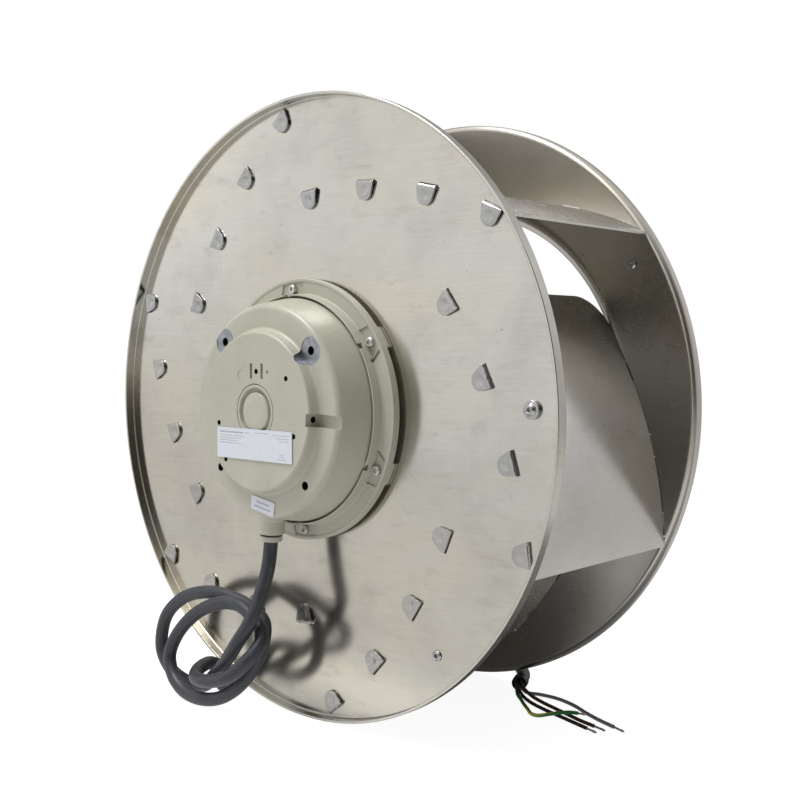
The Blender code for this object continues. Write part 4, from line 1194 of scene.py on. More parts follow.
class CoreColour(Enum):
    """Insulation of the four cores: colour, rubbed colour and stripe."""

    GREY = ((0.17, 0.175, 0.19), (0.26, 0.26, 0.27), None)
    GREEN = ((0.035, 0.2, 0.05), (0.07, 0.27, 0.08), (0.62, 0.52, 0.05))
    BROWN = ((0.06, 0.026, 0.02), (0.1, 0.06, 0.05), None)
    BLACK = ((0.014, 0.014, 0.016), (0.04, 0.04, 0.043), None)


@dataclass
class MotorCable:
    """Cable with its loose knot, its taped end, and four cores with bare strands."""

    radius: float = 6.3 * MM
    core_radius: float = 1.7 * MM
    spread: float = 2.05 * MM
    boss_depth: float = 14 * MM
    boss_end: float = 109.5 * MM
    exit_radius: float = 116.3 * MM
    boss_angle: float = CAST_TURN - 90
    strand: float = 0.27 * MM
    strands: int = 7
    knot: Points = (
        (-8.5, 11, -141), (-11, 4, -165), (-15, -4, -187), (-29, -8, -208), (-49, -6, -230),
        (-72, -1, -248), (-108, 13, -268), (-142, 16, -270), (-169, 18, -263), (-183, 19, -246),
        (-177, 20, -215), (-147, 21, -190), (-108, 22, -179), (-86, 24, -179), (-65, 26, -182),
        (-48, 26, -187), (-31, 25, -196), (-24, 18, -212), (-30, 12, -234), (-43, 5, -253),
        (-66, 1, -268), (-93, -2, -273.7), (-119, -2, -271), (-138, 0, -260), (-147, 3, -244),
        (-141, 6, -226), (-121, 8, -205), (-97, 10, -190), (-74, 11, -182), (-53, 13, -181),
        (-36, 12, -186), (-20, 10, -194), (-11, 5, -204), (-10, -3, -213), (-15, -11, -223),
        (-27, -17, -235), (-46, -20, -243), (-66, -20, -247), (-83, -14, -248), (-93, -2, -245),
        (-95, 11, -243), (-95, 23, -249), (-96, 29, -260), (-101, 32, -269), (-111, 40, -273.7),
    )
    tail: Points = (
        (-118, 62, -273.7), (-123, 90, -273.7), (-124, 134, -273.7), (-118, 182, -273.7),
        (-106, 226, -273.7), (-94, 258, -273.7), (-70, 292, -273.7), (-30, 312, -273.7),
        (16, 314, -273.7), (52, 296, -273.7), (73, 279, -273.7), (86, 265, -273.7),
        (93, 253, -273.2), (99.5, 240.5, -272.4),
    )
    grey: Points = (
        (105.5, 234, -275), (113, 232, -277.6), (127, 237, -278.3), (145, 238, -278.3),
        (168, 232, -278.3), (190, 221, -278.3), (209, 213, -278.3), (227, 207, -278.3),
        (240, 203, -278.4),
    )
    green: Points = (
        (102, 231.5, -275.5), (109, 223.5, -278), (121, 213, -278.3), (132, 203, -278.3),
        (143, 194, -278.3), (153, 186, -278.3), (162, 184, -277.4), (171, 190, -275.4),
        (179, 198, -274.2), (185, 204, -274.2), (188, 209, -275.5), (188, 216.8, -278.2),
    )
    brown: Points = (
        (106, 233, -270.6), (113, 228.5, -273), (124, 225.5, -277), (140, 220, -278.3),
        (160, 213, -278.3), (178, 207, -278.3), (196, 201, -278.3), (213, 197, -278.3),
        (226, 192, -278.4),
    )
    black: Points = (
        (102.5, 231, -270.8), (109, 225, -273.2), (119, 219, -277), (133, 212, -278.3),
        (154, 204, -278.3), (172, 199, -278.3), (190, 194, -278.3), (211, 188, -278.3),
        (223, 183, -278.4),
    )

    def build(self) -> None:
        """Draws the cable, winds the tape and lays the cores."""
        reaches = (self.boss_end - 13.5 * MM, self.exit_radius + 2 * MM)
        gland = [polar(reach, self.boss_angle, self.boss_depth) for reach in reaches]
        points = gland + [Vector(p) * MM for p in self.knot + self.tail]
        line = spaced(smooth_line(points), 4 * MM)
        sheath = drawn_tube("motor_cable", line, self.radius, 24)
        dress(sheath, Sheath("cable_skin", (0.028, 0.03, 0.038), (0.062, 0.066, 0.08)).build())
        hand_over(sheath, "motor", "cable_sheath", "cable")
        tape = self.wind_tape(line)
        self.lay_cores(line)

    def wind_tape(self, line: list[Vector]) -> Piece:
        """Black tape round the end of the sheath, with its turns as small steps.

        Args:
            line: the cable's centreline.

        Returns:
            The tape's sleeve.
        """
        end = line[-1]
        along = (end - line[-3]).normalized()
        profile = rounded([
            (6.62, -8, 0.2), (7.4, -8, 0.3), (7.4, -3.2, 0), (7.15, -3.0, 0), (7.35, 1.4, 0),
            (7.1, 1.6, 0), (7.3, 6, 0.3), (6.62, 6, 0.2),
        ], 2)
        tape = turned("tape_sleeve", profile, 40)
        side = along.orthogonal().normalized()
        place(tape, facing(side, along, side.cross(along), end))
        dress(tape, WoundTape("black_tape").build())
        hand_over(tape, "motor", "tape", "cable_tape")
        return tape

    def lay_cores(self, cable: list[Vector]) -> None:
        """Lays the four cores from the taped end, each with its bare strands.

        Args:
            cable: the cable's centreline.
        """
        end = cable[-1]
        along = (end - cable[-3]).normalized()
        side = Vector((-along.y, along.x, 0)).normalized()
        corners = {
            CoreColour.GREY: (-1, -1, self.grey), CoreColour.GREEN: (1, -1, self.green),
            CoreColour.BROWN: (-1, 1, self.brown), CoreColour.BLACK: (1, 1, self.black),
        }
        for number, (colour, (across, rise, route)) in enumerate(corners.items(), 1):
            name = colour.name.lower()
            start = end + along * GAP - side * across * self.spread + Vector((0, 0, rise * self.spread))
            points = [start, start + along * 6 * MM] + [Vector(p) * MM for p in route[1:]]
            bare_length = (points[-1] - points[-2]).length
            line = spaced(smooth_line(points[:-1]), 2.5 * MM)
            skin, rubbed, stripe = colour.value
            core = drawn_tube(f"core_skin_{name}", line, self.core_radius, 14)
            plastic = Sheath(f"core_plastic_{name}", skin, rubbed, 0.36, stripe, self.core_radius)
            dress(core, plastic.build())
            hand_over(core, "motor", f"core_{name}", f"core_{name}")
            strands = self.fan_strands(f"bare_strands_{number}", line, bare_length)
            hand_over(strands, "motor", "conductor", f"conductor_{number}")

    def fan_strands(self, name: str, core: list[Vector], length: float) -> Piece:
        """Twisted wires that leave the core's end and part a little, round one in the middle.

        Args:
            name: the piece's name.
            core: the core's centreline.
            length: how far the wires reach.

        Returns:
            The wires as one piece.
        """
        end = core[-1]
        along = (end - core[-2]).normalized()
        side = Vector((-along.y, along.x, 0)).normalized()
        up = along.cross(side)
        wires = []
        outer, steps = self.strands - 1, 14
        for k in range(self.strands):
            line = []
            for step in range(steps + 1):
                share = step / steps
                turn = 2 * math.pi * (k / outer + share * 0.9)
                away = (0.62 + 0.25 * share * (1 + 0.4 * math.sin(3 * k))) * MM if k < outer else 0.0
                reach = length * share * (1 - 0.05 * (k % 3))
                line.append(
                    end - along * 1.5 * MM * (1 - share) + along * reach
                    + (side * math.cos(turn) + up * math.sin(turn)) * away
                )
            wires.append(drawn_tube("wire", line, self.strand, 8))
        strands = settle(joined(wires), name, 50)
        copper = Steel("tinned_strand", (0.72, 0.62, 0.54), (0.45, 0.36, 0.3), 0.3, 700.0)
        return dress(strands, copper.build())


# Wheel


@dataclass
class BladeArc:
    """Arc that a blade's sheet follows, from its inlet edge to its outlet edge."""

    bend: float = 418 * MM
    inlet_radius: float = 194 * MM
    inlet_angle: float = 91.8
    outlet_radius: float = 278 * MM
    outlet_angle: float = 34.3

    def __post_init__(self) -> None:
        """Works out the arc's centre, its end angles and its length."""
        inlet = polar(self.inlet_radius, self.inlet_angle)
        outlet = polar(self.outlet_radius, self.outlet_angle)
        chord = outlet - inlet
        rise = math.sqrt(self.bend**2 - (chord.length / 2) ** 2)
        self.centre = (inlet + outlet) / 2 + Vector((chord.z, 0, -chord.x)).normalized() * rise
        first, last = inlet - self.centre, outlet - self.centre
        self.first = math.atan2(first.z, first.x)
        self.last = math.atan2(last.z, last.x)
        self.length = (self.first - self.last) * self.bend

    def at(self, length: float) -> tuple[Vector, Vector, Vector]:
        """Point, direction along the blade and outward normal at a length from the inlet edge.

        Args:
            length: how far from the inlet edge.

        Returns:
            The point, the direction and the normal.
        """
        angle = self.first - length / self.bend
        normal = Vector((math.cos(angle), 0, math.sin(angle)))
        return self.centre + normal * self.bend, Vector((normal.z, 0, -normal.x)), normal


@dataclass
class Wheel:
    """Back plate, dished shroud and curved blades held by bent tabs.

    Its sizes are in millimetres and its angles in degrees.
    """

    steps: int = 192
    rim: float = 280.0
    plate_depth: float = 52.0
    plate_sheet: float = 2.5
    shroud_sheet: float = 2.0
    lip: float = 12.0
    plate_lip: float = 9.0
    fold: float = 3.0
    shroud_fold: float = 5.0
    shroud_root: float = 3.0
    plate_bore: float = 98.3
    outlet: float = 193.5
    cone: float = 8.0
    neck: float = 23.0
    throat: float = 190.0
    blade_sheet: float = 2.0
    corner: float = 30.0
    tab_width: float = 20.0
    tab_reach: float = 16.0
    flap: tuple[tuple[float, float], ...] = (
        (2.4, 0.99), (5.0, 0.92), (8.0, 0.85), (11.0, 0.78), (12.4, 0.71), (13.6, 0.62),
        (14.6, 0.49), (15.3, 0.36), (15.8, 0.21), (16.0, 0.06),
    )
    blades: int = 6
    rivet_circle: float = 250.5
    weight_angle: float = 2.1
    small_rivet_angle: float = -51.6
    shroud_rivet_angle: float = 31.3

    def __post_init__(self) -> None:
        """Derives the shroud's line and the tabs' places."""
        self.arc = BladeArc()
        self.spacing = 360 / self.blades
        self.plate_back = self.plate_depth + self.plate_sheet
        self.shroud_rim = self.plate_back + self.outlet
        slope = math.radians(self.cone)
        self.cone_edge = self.rim - self.shroud_sheet
        self.neck_radius = self.throat + self.neck
        self.neck_start = self.neck_radius - self.neck * math.sin(slope)
        neck_rise = (self.cone_edge - self.neck_start) * math.tan(slope)
        self.neck_depth = self.shroud_rim + neck_rise + self.neck * math.cos(slope)
        length = self.arc.length / MM
        pitch = (length - 19.0 - self.tab_width / 2) / 3
        self.tab_places = [(self.tab_width / 2 + pitch * i) * MM for i in range(4)]

    def shroud_inner(self, radius: float) -> float:
        """Depth of the shroud's face towards the blades at a radius, in millimetres.

        Args:
            radius: in millimetres.

        Returns:
            The depth.
        """
        if radius >= self.neck_start:
            return self.shroud_rim + (self.cone_edge - radius) * math.tan(math.radians(self.cone))
        reach = min(max(self.neck_radius - radius, 0.0), self.neck)
        return self.neck_depth - math.sqrt(self.neck**2 - reach**2)

    def shroud_outer(self, radius: float) -> float:
        """Depth of the shroud's face on the inlet side along its cone, in millimetres.

        Args:
            radius: in millimetres.

        Returns:
            The depth.
        """
        slope = math.radians(self.cone)
        rise = (self.cone_edge - radius) * math.tan(slope)
        return self.shroud_rim + rise + self.shroud_sheet / math.cos(slope)

    def slots(self, places: list[float], low: float, high: float, shift: float) -> Piece:
        """Tool body for every blade's slots, wider on the outer side of each fold.

        Args:
            places: lengths along the blade.
            low: depth where the slots start, in millimetres.
            high: depth where they end, in millimetres.
            shift: how far the slot's middle lies outwards from the blade's, in millimetres.

        Returns:
            The slots as one body.
        """
        size = ((self.tab_width + 1.0) * MM, (self.blade_sheet + 1.3) * MM, (high - low) * MM)
        tools = []
        for blade in range(self.blades):
            for length in places:
                point, tangent, normal = self.arc.at(length)
                middle = point + normal * shift * MM + Vector((0, (low + high) / 2 * MM, 0))
                frame_of_slot = facing(tangent, normal, tangent.cross(normal), middle)
                tools.append(block(size, turn_about_axis(-self.spacing * blade) @ frame_of_slot))
        return joined(tools)

    def hole(self, radius: float, circle: float, angle: float, low: float, high: float) -> Piece:
        """Tool body for a round hole along the axis, its sizes in millimetres.

        Args:
            radius: its radius.
            circle: radius of the circle that it is on.
            angle: its angle in degrees.
            low: depth where it starts.
            high: depth where it ends.

        Returns:
            The tool body.
        """
        start, end = polar(circle * MM, angle, low * MM), polar(circle * MM, angle, high * MM)
        return rod(radius * MM, start, end)

    def press_plate(self, finishes: Finishes, screws: list[float]) -> None:
        """Makes the back plate, with its edge turned towards the motor.

        Args:
            finishes: the shared finishes.
            screws: angles of the motor's screws, in degrees.
        """
        face, back = self.plate_depth, self.plate_back
        inner, crest = self.rim - self.plate_sheet, self.plate_depth - self.plate_lip
        profile = rounded([
            (self.plate_bore, face, 0.2), (inner, face, 1.2), (inner, crest, 0.5),
            (self.rim, crest, 0.9), (self.rim, back, self.fold), (self.plate_bore, back, 0.2),
        ], 5)
        plate = turned("plate_disc", profile, self.steps)
        work(plate, self.slots(self.tab_places, back - 6, back + 2, 0.35))
        holes = [self.hole(2.9, SCREW_CIRCLE, a, 45, 60) for a in screws]
        for angle in (self.weight_angle, self.small_rivet_angle):
            holes.append(self.hole(2.6, self.rivet_circle, angle, 45, 60))
        work(plate, joined(holes))
        settle(plate, "plate_disc", 28)
        dress(plate, finishes.plate)
        hand_over(plate, "impeller", "wheel_sheet", "back_plate")

    def spin_shroud(self, finishes: Finishes) -> None:
        """Dished shroud with its throat bead and its turned edge.

        Args:
            finishes: the shared finishes.
        """
        slope = math.radians(self.cone)
        inner, crest = self.rim - self.shroud_sheet, self.shroud_rim + self.lip
        start, stop = -math.pi / 2 - slope, -math.pi
        profile: Profile = []
        for bend, ends in ((self.neck, (start, stop)), (self.neck - self.shroud_sheet, (stop, start))):
            for step in range(17):
                angle = ends[0] + (ends[1] - ends[0]) * step / 16
                profile.append((
                    (self.neck_radius + bend * math.cos(angle)) * MM,
                    (self.neck_depth + bend * math.sin(angle)) * MM,
                ))
        edge = rounded([
            (inner, self.shroud_outer(inner), self.shroud_root), (inner, crest, 0.4),
            (self.rim, crest, 0.9), (self.rim, self.shroud_rim, self.shroud_fold),
            (self.neck_start, self.shroud_inner(self.neck_start), 0), (200, self.shroud_outer(200), 0),
        ], 5)
        profile += edge[:-2]
        shroud = turned("shroud_dish", profile, self.steps)
        low, high = self.shroud_rim - 8, self.neck_depth
        work(shroud, self.slots(self.tab_places[1:], low, high, 0.0))
        work(shroud, self.hole(2.6, self.rivet_circle, self.shroud_rivet_angle, low, high))
        settle(shroud, "shroud_dish", 28)
        dress(shroud, finishes.shroud)
        hand_over(shroud, "impeller", "wheel_sheet", "front_shroud")

    def fold_tab(self) -> Piece:
        """One bent tab: a web that rises through its slot, a fold, and a flap with a round end.

        Returns:
            The tab, with its width along X, its flap towards +Y and +Z away from the sheet.
        """
        half, bend, rise = self.tab_width / 2 * MM, 1.3 * MM, 1.0 * MM
        deselect()
        bpy.ops.mesh.primitive_plane_add(size=1, location=(0, 0, -3.5 * MM))
        tab = bpy.context.object
        bpy.ops.object.transform_apply(location=True, rotation=True, scale=True)
        with editing(tab):
            pick(tab, "verts", lambda co, normal: co.y > 0)
            bpy.ops.mesh.delete(type="VERT")
            bpy.ops.mesh.select_all(action="SELECT")
            bpy.ops.transform.resize(value=(2 * half, 1, 1), center_override=(0, 0, 0))
            bpy.ops.transform.translate(value=(0, 0.5, 0))
            bpy.ops.mesh.extrude_edges_move(TRANSFORM_OT_translate={"value": (0, 0, 3.5 * MM + rise)})
            before = 0.0
            for step in range(1, 7):
                angle = math.pi / 2 * step / 6
                ahead = bend * (math.cos(before) - math.cos(angle))
                up = bend * (math.sin(angle) - math.sin(before))
                bpy.ops.mesh.extrude_edges_move(TRANSFORM_OT_translate={"value": (0, ahead, up)})
                before = angle
            width, reach = 1.0, bend
            for target, share in self.flap:
                step = target * MM - reach
                drop = -rise * step / (self.tab_reach * MM - bend)
                bpy.ops.mesh.extrude_edges_move(TRANSFORM_OT_translate={"value": (0, step, drop)})
                bpy.ops.transform.resize(value=(share / width, 1, 1), center_override=(0, 0, 0))
                width, reach = share, target * MM
            bpy.ops.mesh.select_all(action="SELECT")
            bpy.ops.mesh.normals_make_consistent(inside=False)
        finish_with(tab, "SOLIDIFY", thickness=self.blade_sheet * MM, offset=0.0)
        sharp = math.radians(50)
        finish_with(tab, "BEVEL", width=0.4 * MM, segments=2, limit_method="ANGLE", angle_limit=sharp)
        deselect()
        dimple = (0.6 * MM, 9.4 * MM, 2.72 * MM + 23.5 * MM)
        bpy.ops.mesh.primitive_uv_sphere_add(
            segments=64, ring_count=40, radius=24 * MM, location=dimple
        )
        work(tab, bpy.context.object)
        return settle(tab, "tab", 35)

    def roll_blade(self) -> Piece:
        """The first blade's sheet, rolled on its arc and trimmed between plate and shroud.

        Returns:
            The blade's sheet.
        """
        arc = self.arc
        inlet, _, _ = arc.at(0)
        low, high = (self.plate_back - 2) * MM, (self.neck_depth - 2) * MM
        deselect()
        bpy.ops.mesh.primitive_plane_add(size=1)
        blade = bpy.context.object
        with editing(blade):
            pick(blade, "verts", lambda co, normal: co.x > 0)
            bpy.ops.mesh.delete(type="VERT")
            bpy.ops.mesh.select_all(action="SELECT")
            bpy.ops.transform.translate(value=(0.5, 0, 0))
            bpy.ops.transform.resize(value=(1, high - low, 1), center_override=(0, 0, 0))
            bpy.ops.transform.translate(value=(inlet.x, (low + high) / 2, inlet.z))
            bpy.ops.mesh.spin(steps=60, angle=arc.last - arc.first, center=arc.centre, axis=(0, 1, 0))
            bpy.ops.mesh.select_all(action="SELECT")
            bpy.ops.mesh.normals_make_consistent(inside=False)
        finish_with(blade, "SOLIDIFY", thickness=self.blade_sheet * MM, offset=0.0)
        floor = (self.plate_back + 0.3) * MM
        room: Profile = [(150 * MM, floor), (290 * MM, floor)]
        for radius in (290, 260, 230, self.neck_start, 207, 204, 201, 198, 195, 193, 191.5, 190.5):
            room.append((radius * MM, (self.shroud_inner(radius) - 0.4) * MM))
        room.append((150 * MM, (self.neck_depth - 0.4) * MM))
        work(blade, turned("room", room, 256), "INTERSECT")
        self.round_corner(blade)
        return blade

    def round_corner(self, blade: Piece) -> None:
        """Rounds the blade's inlet corner beside the shroud.

        Args:
            blade: the blade's sheet.
        """
        size = self.corner * MM
        point, tangent, normal = self.arc.at(size)
        edge = (self.shroud_inner(point.length / MM + 1) - 0.45) * MM
        axis = Vector((0, 1, 0))
        middle = point + axis * (edge - size)
        where = facing(tangent, axis, normal, middle - tangent * size + axis * size)
        corner = block((2 * size, 2 * size, 30 * MM), where)
        work(corner, rod(size, middle - normal * 0.03, middle + normal * 0.03, 96))
        work(blade, corner)

    def make_blades(self, finishes: Finishes) -> None:
        """Makes the blades from one, each with its seven tabs.

        Args:
            finishes: the shared finishes.
        """
        blade = dress(self.roll_blade(), finishes.blade)
        tab = dress(self.fold_tab(), finishes.tab)
        tabs = []
        for i, length in enumerate(self.tab_places):
            point, _, normal = self.arc.at(length)
            up = Vector((0, -1, 0))
            ahead = -normal
            across = ahead.cross(up)
            origin = point + Vector((0, self.plate_depth * MM, 0))
            tabs.append(copied(tab, f"plate_tab_{i}", facing(across, ahead, up, origin)))
            if i == 0:
                continue
            slope = math.radians(self.cone)
            out = point.normalized()
            up = (out * math.sin(slope) + Vector((0, math.cos(slope), 0))).normalized()
            ahead = normal if i == 1 else -normal
            ahead = (ahead - up * ahead.dot(up)).normalized()
            across = ahead.cross(up)
            origin = point + Vector((0, self.shroud_outer(point.length / MM) * MM, 0))
            tabs.append(copied(tab, f"shroud_tab_{i}", facing(across, ahead, up, origin)))
        bpy.data.objects.remove(tab, do_unlink=True)
        first = joined([blade, *tabs])
        settle(first, "blade_piece_1", 35)
        pieces = [first]
        for k in range(1, self.blades):
            pieces.append(copied(first, f"blade_piece_{k + 1}", turn_about_axis(-self.spacing * k)))
        for k, piece in enumerate(pieces, 1):
            hand_over(piece, "impeller", "wheel_sheet", f"blade_{k}")

    def set_rivet(
        self, name: str, head: float, weight: float, where: Matrix, grip: float
    ) -> Piece:
        """A blind rivet, with a round weight under its head where there is one.

        Args:
            name: the piece's name.
            head: head radius in millimetres.
            weight: height of the weight in millimetres.
            where: puts the sheet's face at the origin, with the head towards -Y.
            grip: thickness that the rivet holds, in millimetres.

        Returns:
            The rivet.
        """
        top = -(weight + 2.6) if weight else -2.0
        rim = head * 0.62 if weight else head
        step = [(head, -0.3, 0.25), (head, -max(weight, 1.0), 0.5)]
        if weight:
            step += [(rim + 0.6, -weight - 0.15, 0.3), (rim, -weight - 1.0, 0.5)]
        profile = rounded([
            (2.4, -0.3, 0), *step, (rim * 0.7, top, 0.5), (1.9, top, 0.3), (1.7, top + 2.3, 0),
            (0.05, top + 2.4, 0),
        ], 4)
        tail = rounded([
            (0.05, grip + 3.8, 0), (1.9, grip + 3.7, 0.6), (3.1, grip + 1.6, 0.8),
            (2.6, grip + 0.3, 0.2), (2.4, grip + 0.3, 0),
        ], 3)
        made = turned(name, profile + tail, 40)
        return place(made, where)

    def set_rivets(self, finishes: Finishes) -> None:
        """Sets the balance rivets of the plate and the shroud.

        Args:
            finishes: the shared finishes.
        """
        face, circle = self.plate_depth * MM, self.rivet_circle * MM
        rivets = [
            ("balance_weight", 7.3, 3.0, self.weight_angle, "balance_rivet_1"),
            ("small_balance_rivet", 4.4, 0.0, self.small_rivet_angle, "balance_rivet_2"),
        ]
        for name, head, weight, angle, node in rivets:
            where = Matrix.Translation(polar(circle, angle, face))
            piece = self.set_rivet(name, head, weight, where, self.plate_sheet)
            hand_over(dress(piece, finishes.rivet), "impeller", "rivet_steel", node)
        slope = 2.4 * 2 * math.tan(math.radians(self.cone))
        depth = (self.shroud_inner(self.rivet_circle) - slope) * MM
        where = Matrix.Translation(polar(circle, self.shroud_rivet_angle, depth))
        piece = self.set_rivet("dome_rivet", 4.2, 0.0, where, self.shroud_sheet + 2 * slope)
        hand_over(dress(piece, finishes.ground), "impeller", "rivet_steel", "shroud_rivet")

    def build(self, finishes: Finishes, screws: list[float]) -> None:
        """Makes the whole wheel.

        Args:
            finishes: the shared finishes.
            screws: angles of the motor's screws, in degrees.
        """
        self.press_plate(finishes, screws)
        self.spin_shroud(finishes)
        self.make_blades(finishes)
        self.set_rivets(finishes)


# Rotor


@dataclass
class Rotor:
    """Turned cup, its flange ring with feet and pockets, and the screws that hold the plate.

    Its sizes are in millimetres and its angles in degrees.
    """

    steps: int = 192
    screws: int = 6
    first_screw: float = 93.9
    circle: float = SCREW_CIRCLE
    ring: float = 117.2
    bore: float = 100.75
    cup: float = 97.7
    plate_depth: float = 52.0
    head: float = 4.1

    def screw_angles(self) -> list[float]:
        """Angles of the screws, in degrees."""
        return [self.first_screw - 360 / self.screws * i for i in range(self.screws)]

    def sector(
        self, inner: float, outer: float, angle: float, near: float, far: float, low: float, high: float
    ) -> Piece:
        """A piece of a ring about an angle, used as a tool body or a blank.

        Args:
            inner: inner radius in millimetres.
            outer: outer radius in millimetres.
            angle: its middle in degrees.
            near: half its angle at the inner radius, in degrees.
            far: half its angle at the outer radius, in degrees.
            low: depth where it starts, in millimetres.
            high: depth where it ends, in millimetres.

        Returns:
            The closed body.
        """
        deselect()
        bpy.ops.mesh.primitive_grid_add(x_subdivisions=10, y_subdivisions=1, size=2)
        made = bpy.context.object
        with editing(made):
            bpy.ops.mesh.select_all(action="SELECT")
            mesh = bmesh.from_edit_mesh(made.data)
            for vert in mesh.verts:
                outside = vert.co.y > 0
                radius, half = (outer, far) if outside else (inner, near)
                vert.co = polar(radius * MM, angle + vert.co.x * half, low * MM)
            bmesh.update_edit_mesh(made.data)
            move = (0, (high - low) * MM, 0)
            bpy.ops.mesh.extrude_region_move(TRANSFORM_OT_translate={"value": move})
            bpy.ops.mesh.select_all(action="SELECT")
            bpy.ops.mesh.normals_make_consistent(inside=False)
        return made

    def cast_cup(self, finishes: Finishes) -> None:
        """Rotor cup with its hub, as the inlet shows it.

        Args:
            finishes: the shared finishes.
        """
        profile = rounded([
            (self.cup, 45, 0.3), (self.cup, 110, 3.5), (self.cup - 10, 122, 3.5), (70, 122, 1.2),
            (69, 120.8, 0.8), (40, 120.8, 0.8), (39, 122, 1.2), (22, 122, 1.5), (22, 130, 1.2),
            (10.3, 130, 0.6), (10.3, 99.5, 0), (13.3, 99.5, 0), (13.3, 114, 0), (86.7, 114, 0),
            (91.7, 109, 0), (91.7, 45, 0.3),
        ], 5)
        cup = turned("rotor_cup", profile, self.steps)
        dress(cup, finishes.rotor)
        hand_over(cup, "impeller", "rotor_casting", "rotor_housing")

    def cast_flange(self, finishes: Finishes) -> None:
        """Flange ring with its bead, lip, feet, pockets, notches and tally slot.

        Args:
            finishes: the shared finishes.
        """
        bore, ring = self.bore, self.ring
        face, lip, base = self.plate_depth - 10.4, self.plate_depth - 19.8, self.plate_depth - 3.8
        profile = rounded([
            (bore + 0.5, lip, 0.5), (bore + 2.0, lip, 0.5), (bore + 2.7, face, 1.2),
            (ring - 3.3, face, 0.5), (ring - 2.7, face - 0.6, 0.3), (ring - 0.3, face - 0.6, 0.5),
            (ring, base, 0.5), (self.cup + 0.3, base, 0.2), (self.cup + 0.3, base - 3.2, 0.2),
            (bore + 0.3, base - 3.2, 0.2),
        ], 4)
        flange = turned("flange_ring", profile, self.steps)
        angles = self.screw_angles()
        foot = self.plate_depth - 0.3
        feet = [self.sector(103, ring - 0.6, a, 5, 5, base - 1, foot) for a in angles]
        work(flange, joined(feet), "UNION")
        inner = self.circle - self.head - 0.4
        pockets = [self.sector(inner, ring - 3.6, a, 9, 6.8, lip - 1, face + 1.2) for a in angles]
        work(flange, joined(pockets))
        circle = self.circle * MM
        shanks = [rod(2.9 * MM, polar(circle, a, 38 * MM), polar(circle, a, 56 * MM)) for a in angles]
        work(flange, joined(shanks))
        notches = []
        for a in angles:
            out, along = polar(1, a), polar(1, a + 90)
            where = facing(out, along, Vector((0, -1, 0)), polar((bore + 1) * MM, a, (lip + 1.25) * MM))
            notches.append(block((7 * MM, 5.4 * MM, 6.5 * MM), where))
        work(flange, joined(notches))
        start, end = Vector((99.0, face, 53.0)) * MM, Vector((91.4, face, 42.8)) * MM
        along = (start - end).normalized()
        up = Vector((0, -1, 0))
        where = facing(along, up.cross(along), up, (start + end) / 2)
        work(flange, block(((start - end).length, 3.1 * MM, 6.4 * MM), where))
        self.add_rib(flange, face)
        settle(flange, "flange_ring", 30)
        dress(flange, finishes.rotor)
        hand_over(flange, "impeller", "rotor_casting", "rotor_flange")

    def add_rib(self, flange: Piece, face: float) -> None:
        """Small raised rib beside the lower right screw.

        Args:
            flange: the ring to add it to.
            face: depth of the ring's face in millimetres.
        """
        start, end = Vector((96.9, face, -30.6)) * MM, Vector((104.3, face, -39.4)) * MM
        along = (end - start).normalized()
        up = Vector((0, -1, 0))
        where = facing(along, up.cross(along), up, (start + end) / 2)
        rib = block(((end - start).length, 1.5 * MM, 3.2 * MM), where)
        finish_with(rib, "BEVEL", width=0.5 * MM, segments=3, limit_method="NONE")
        work(flange, rib, "UNION")

    def turn_screw(self) -> Piece:
        """One pan-head screw with a six-lobed recess, at the origin, its head towards -Y.

        Returns:
            The screw.
        """
        seat, top = 42.5, 38.9
        profile = rounded([
            (0.05, top, 0), (self.head - 0.7, top, 0.3), (self.head, top + 0.8, 0.4),
            (self.head, seat, 0.25), (2.5, seat, 0.2), (2.5, 59.8, 0), (1.9, 60.8, 0.2),
            (0.05, 60.8, 0),
        ], 5)
        screw = turned("screw", profile, 48, closed=False)
        above, bottom = Vector((0, 37 * MM, 0)), Vector((0, (top + 1.9) * MM, 0))
        lobes = []
        for k in range(6):
            middle = polar(1.65 * MM, 60 * k, 0)
            lobes.append(rod(0.8 * MM, middle + above, middle + bottom, 12))
        for lobe in lobes:
            work(screw, lobe)
        work(screw, rod(1.8 * MM, above, bottom, 24))
        return settle(screw, "screw", 35)

    def drive_screws(self, finishes: Finishes) -> None:
        """Copies the screw round the ring.

        Args:
            finishes: the shared finishes.
        """
        screw = dress(self.turn_screw(), finishes.screw)
        for i, angle in enumerate(self.screw_angles(), 1):
            where = Matrix.Translation(polar(self.circle * MM, angle)) @ turn_about_axis(17.0 * i)
            piece = copied(screw, f"flange_screw_{i}", where)
            hand_over(piece, "impeller", "fastener_steel", f"rotor_screw_{i}")
        bpy.data.objects.remove(screw, do_unlink=True)

    def build(self, finishes: Finishes) -> None:
        """Makes the rotor.

        Args:
            finishes: the shared finishes.
        """
        self.cast_cup(finishes)
        self.cast_flange(finishes)
        self.drive_screws(finishes)


# Stator


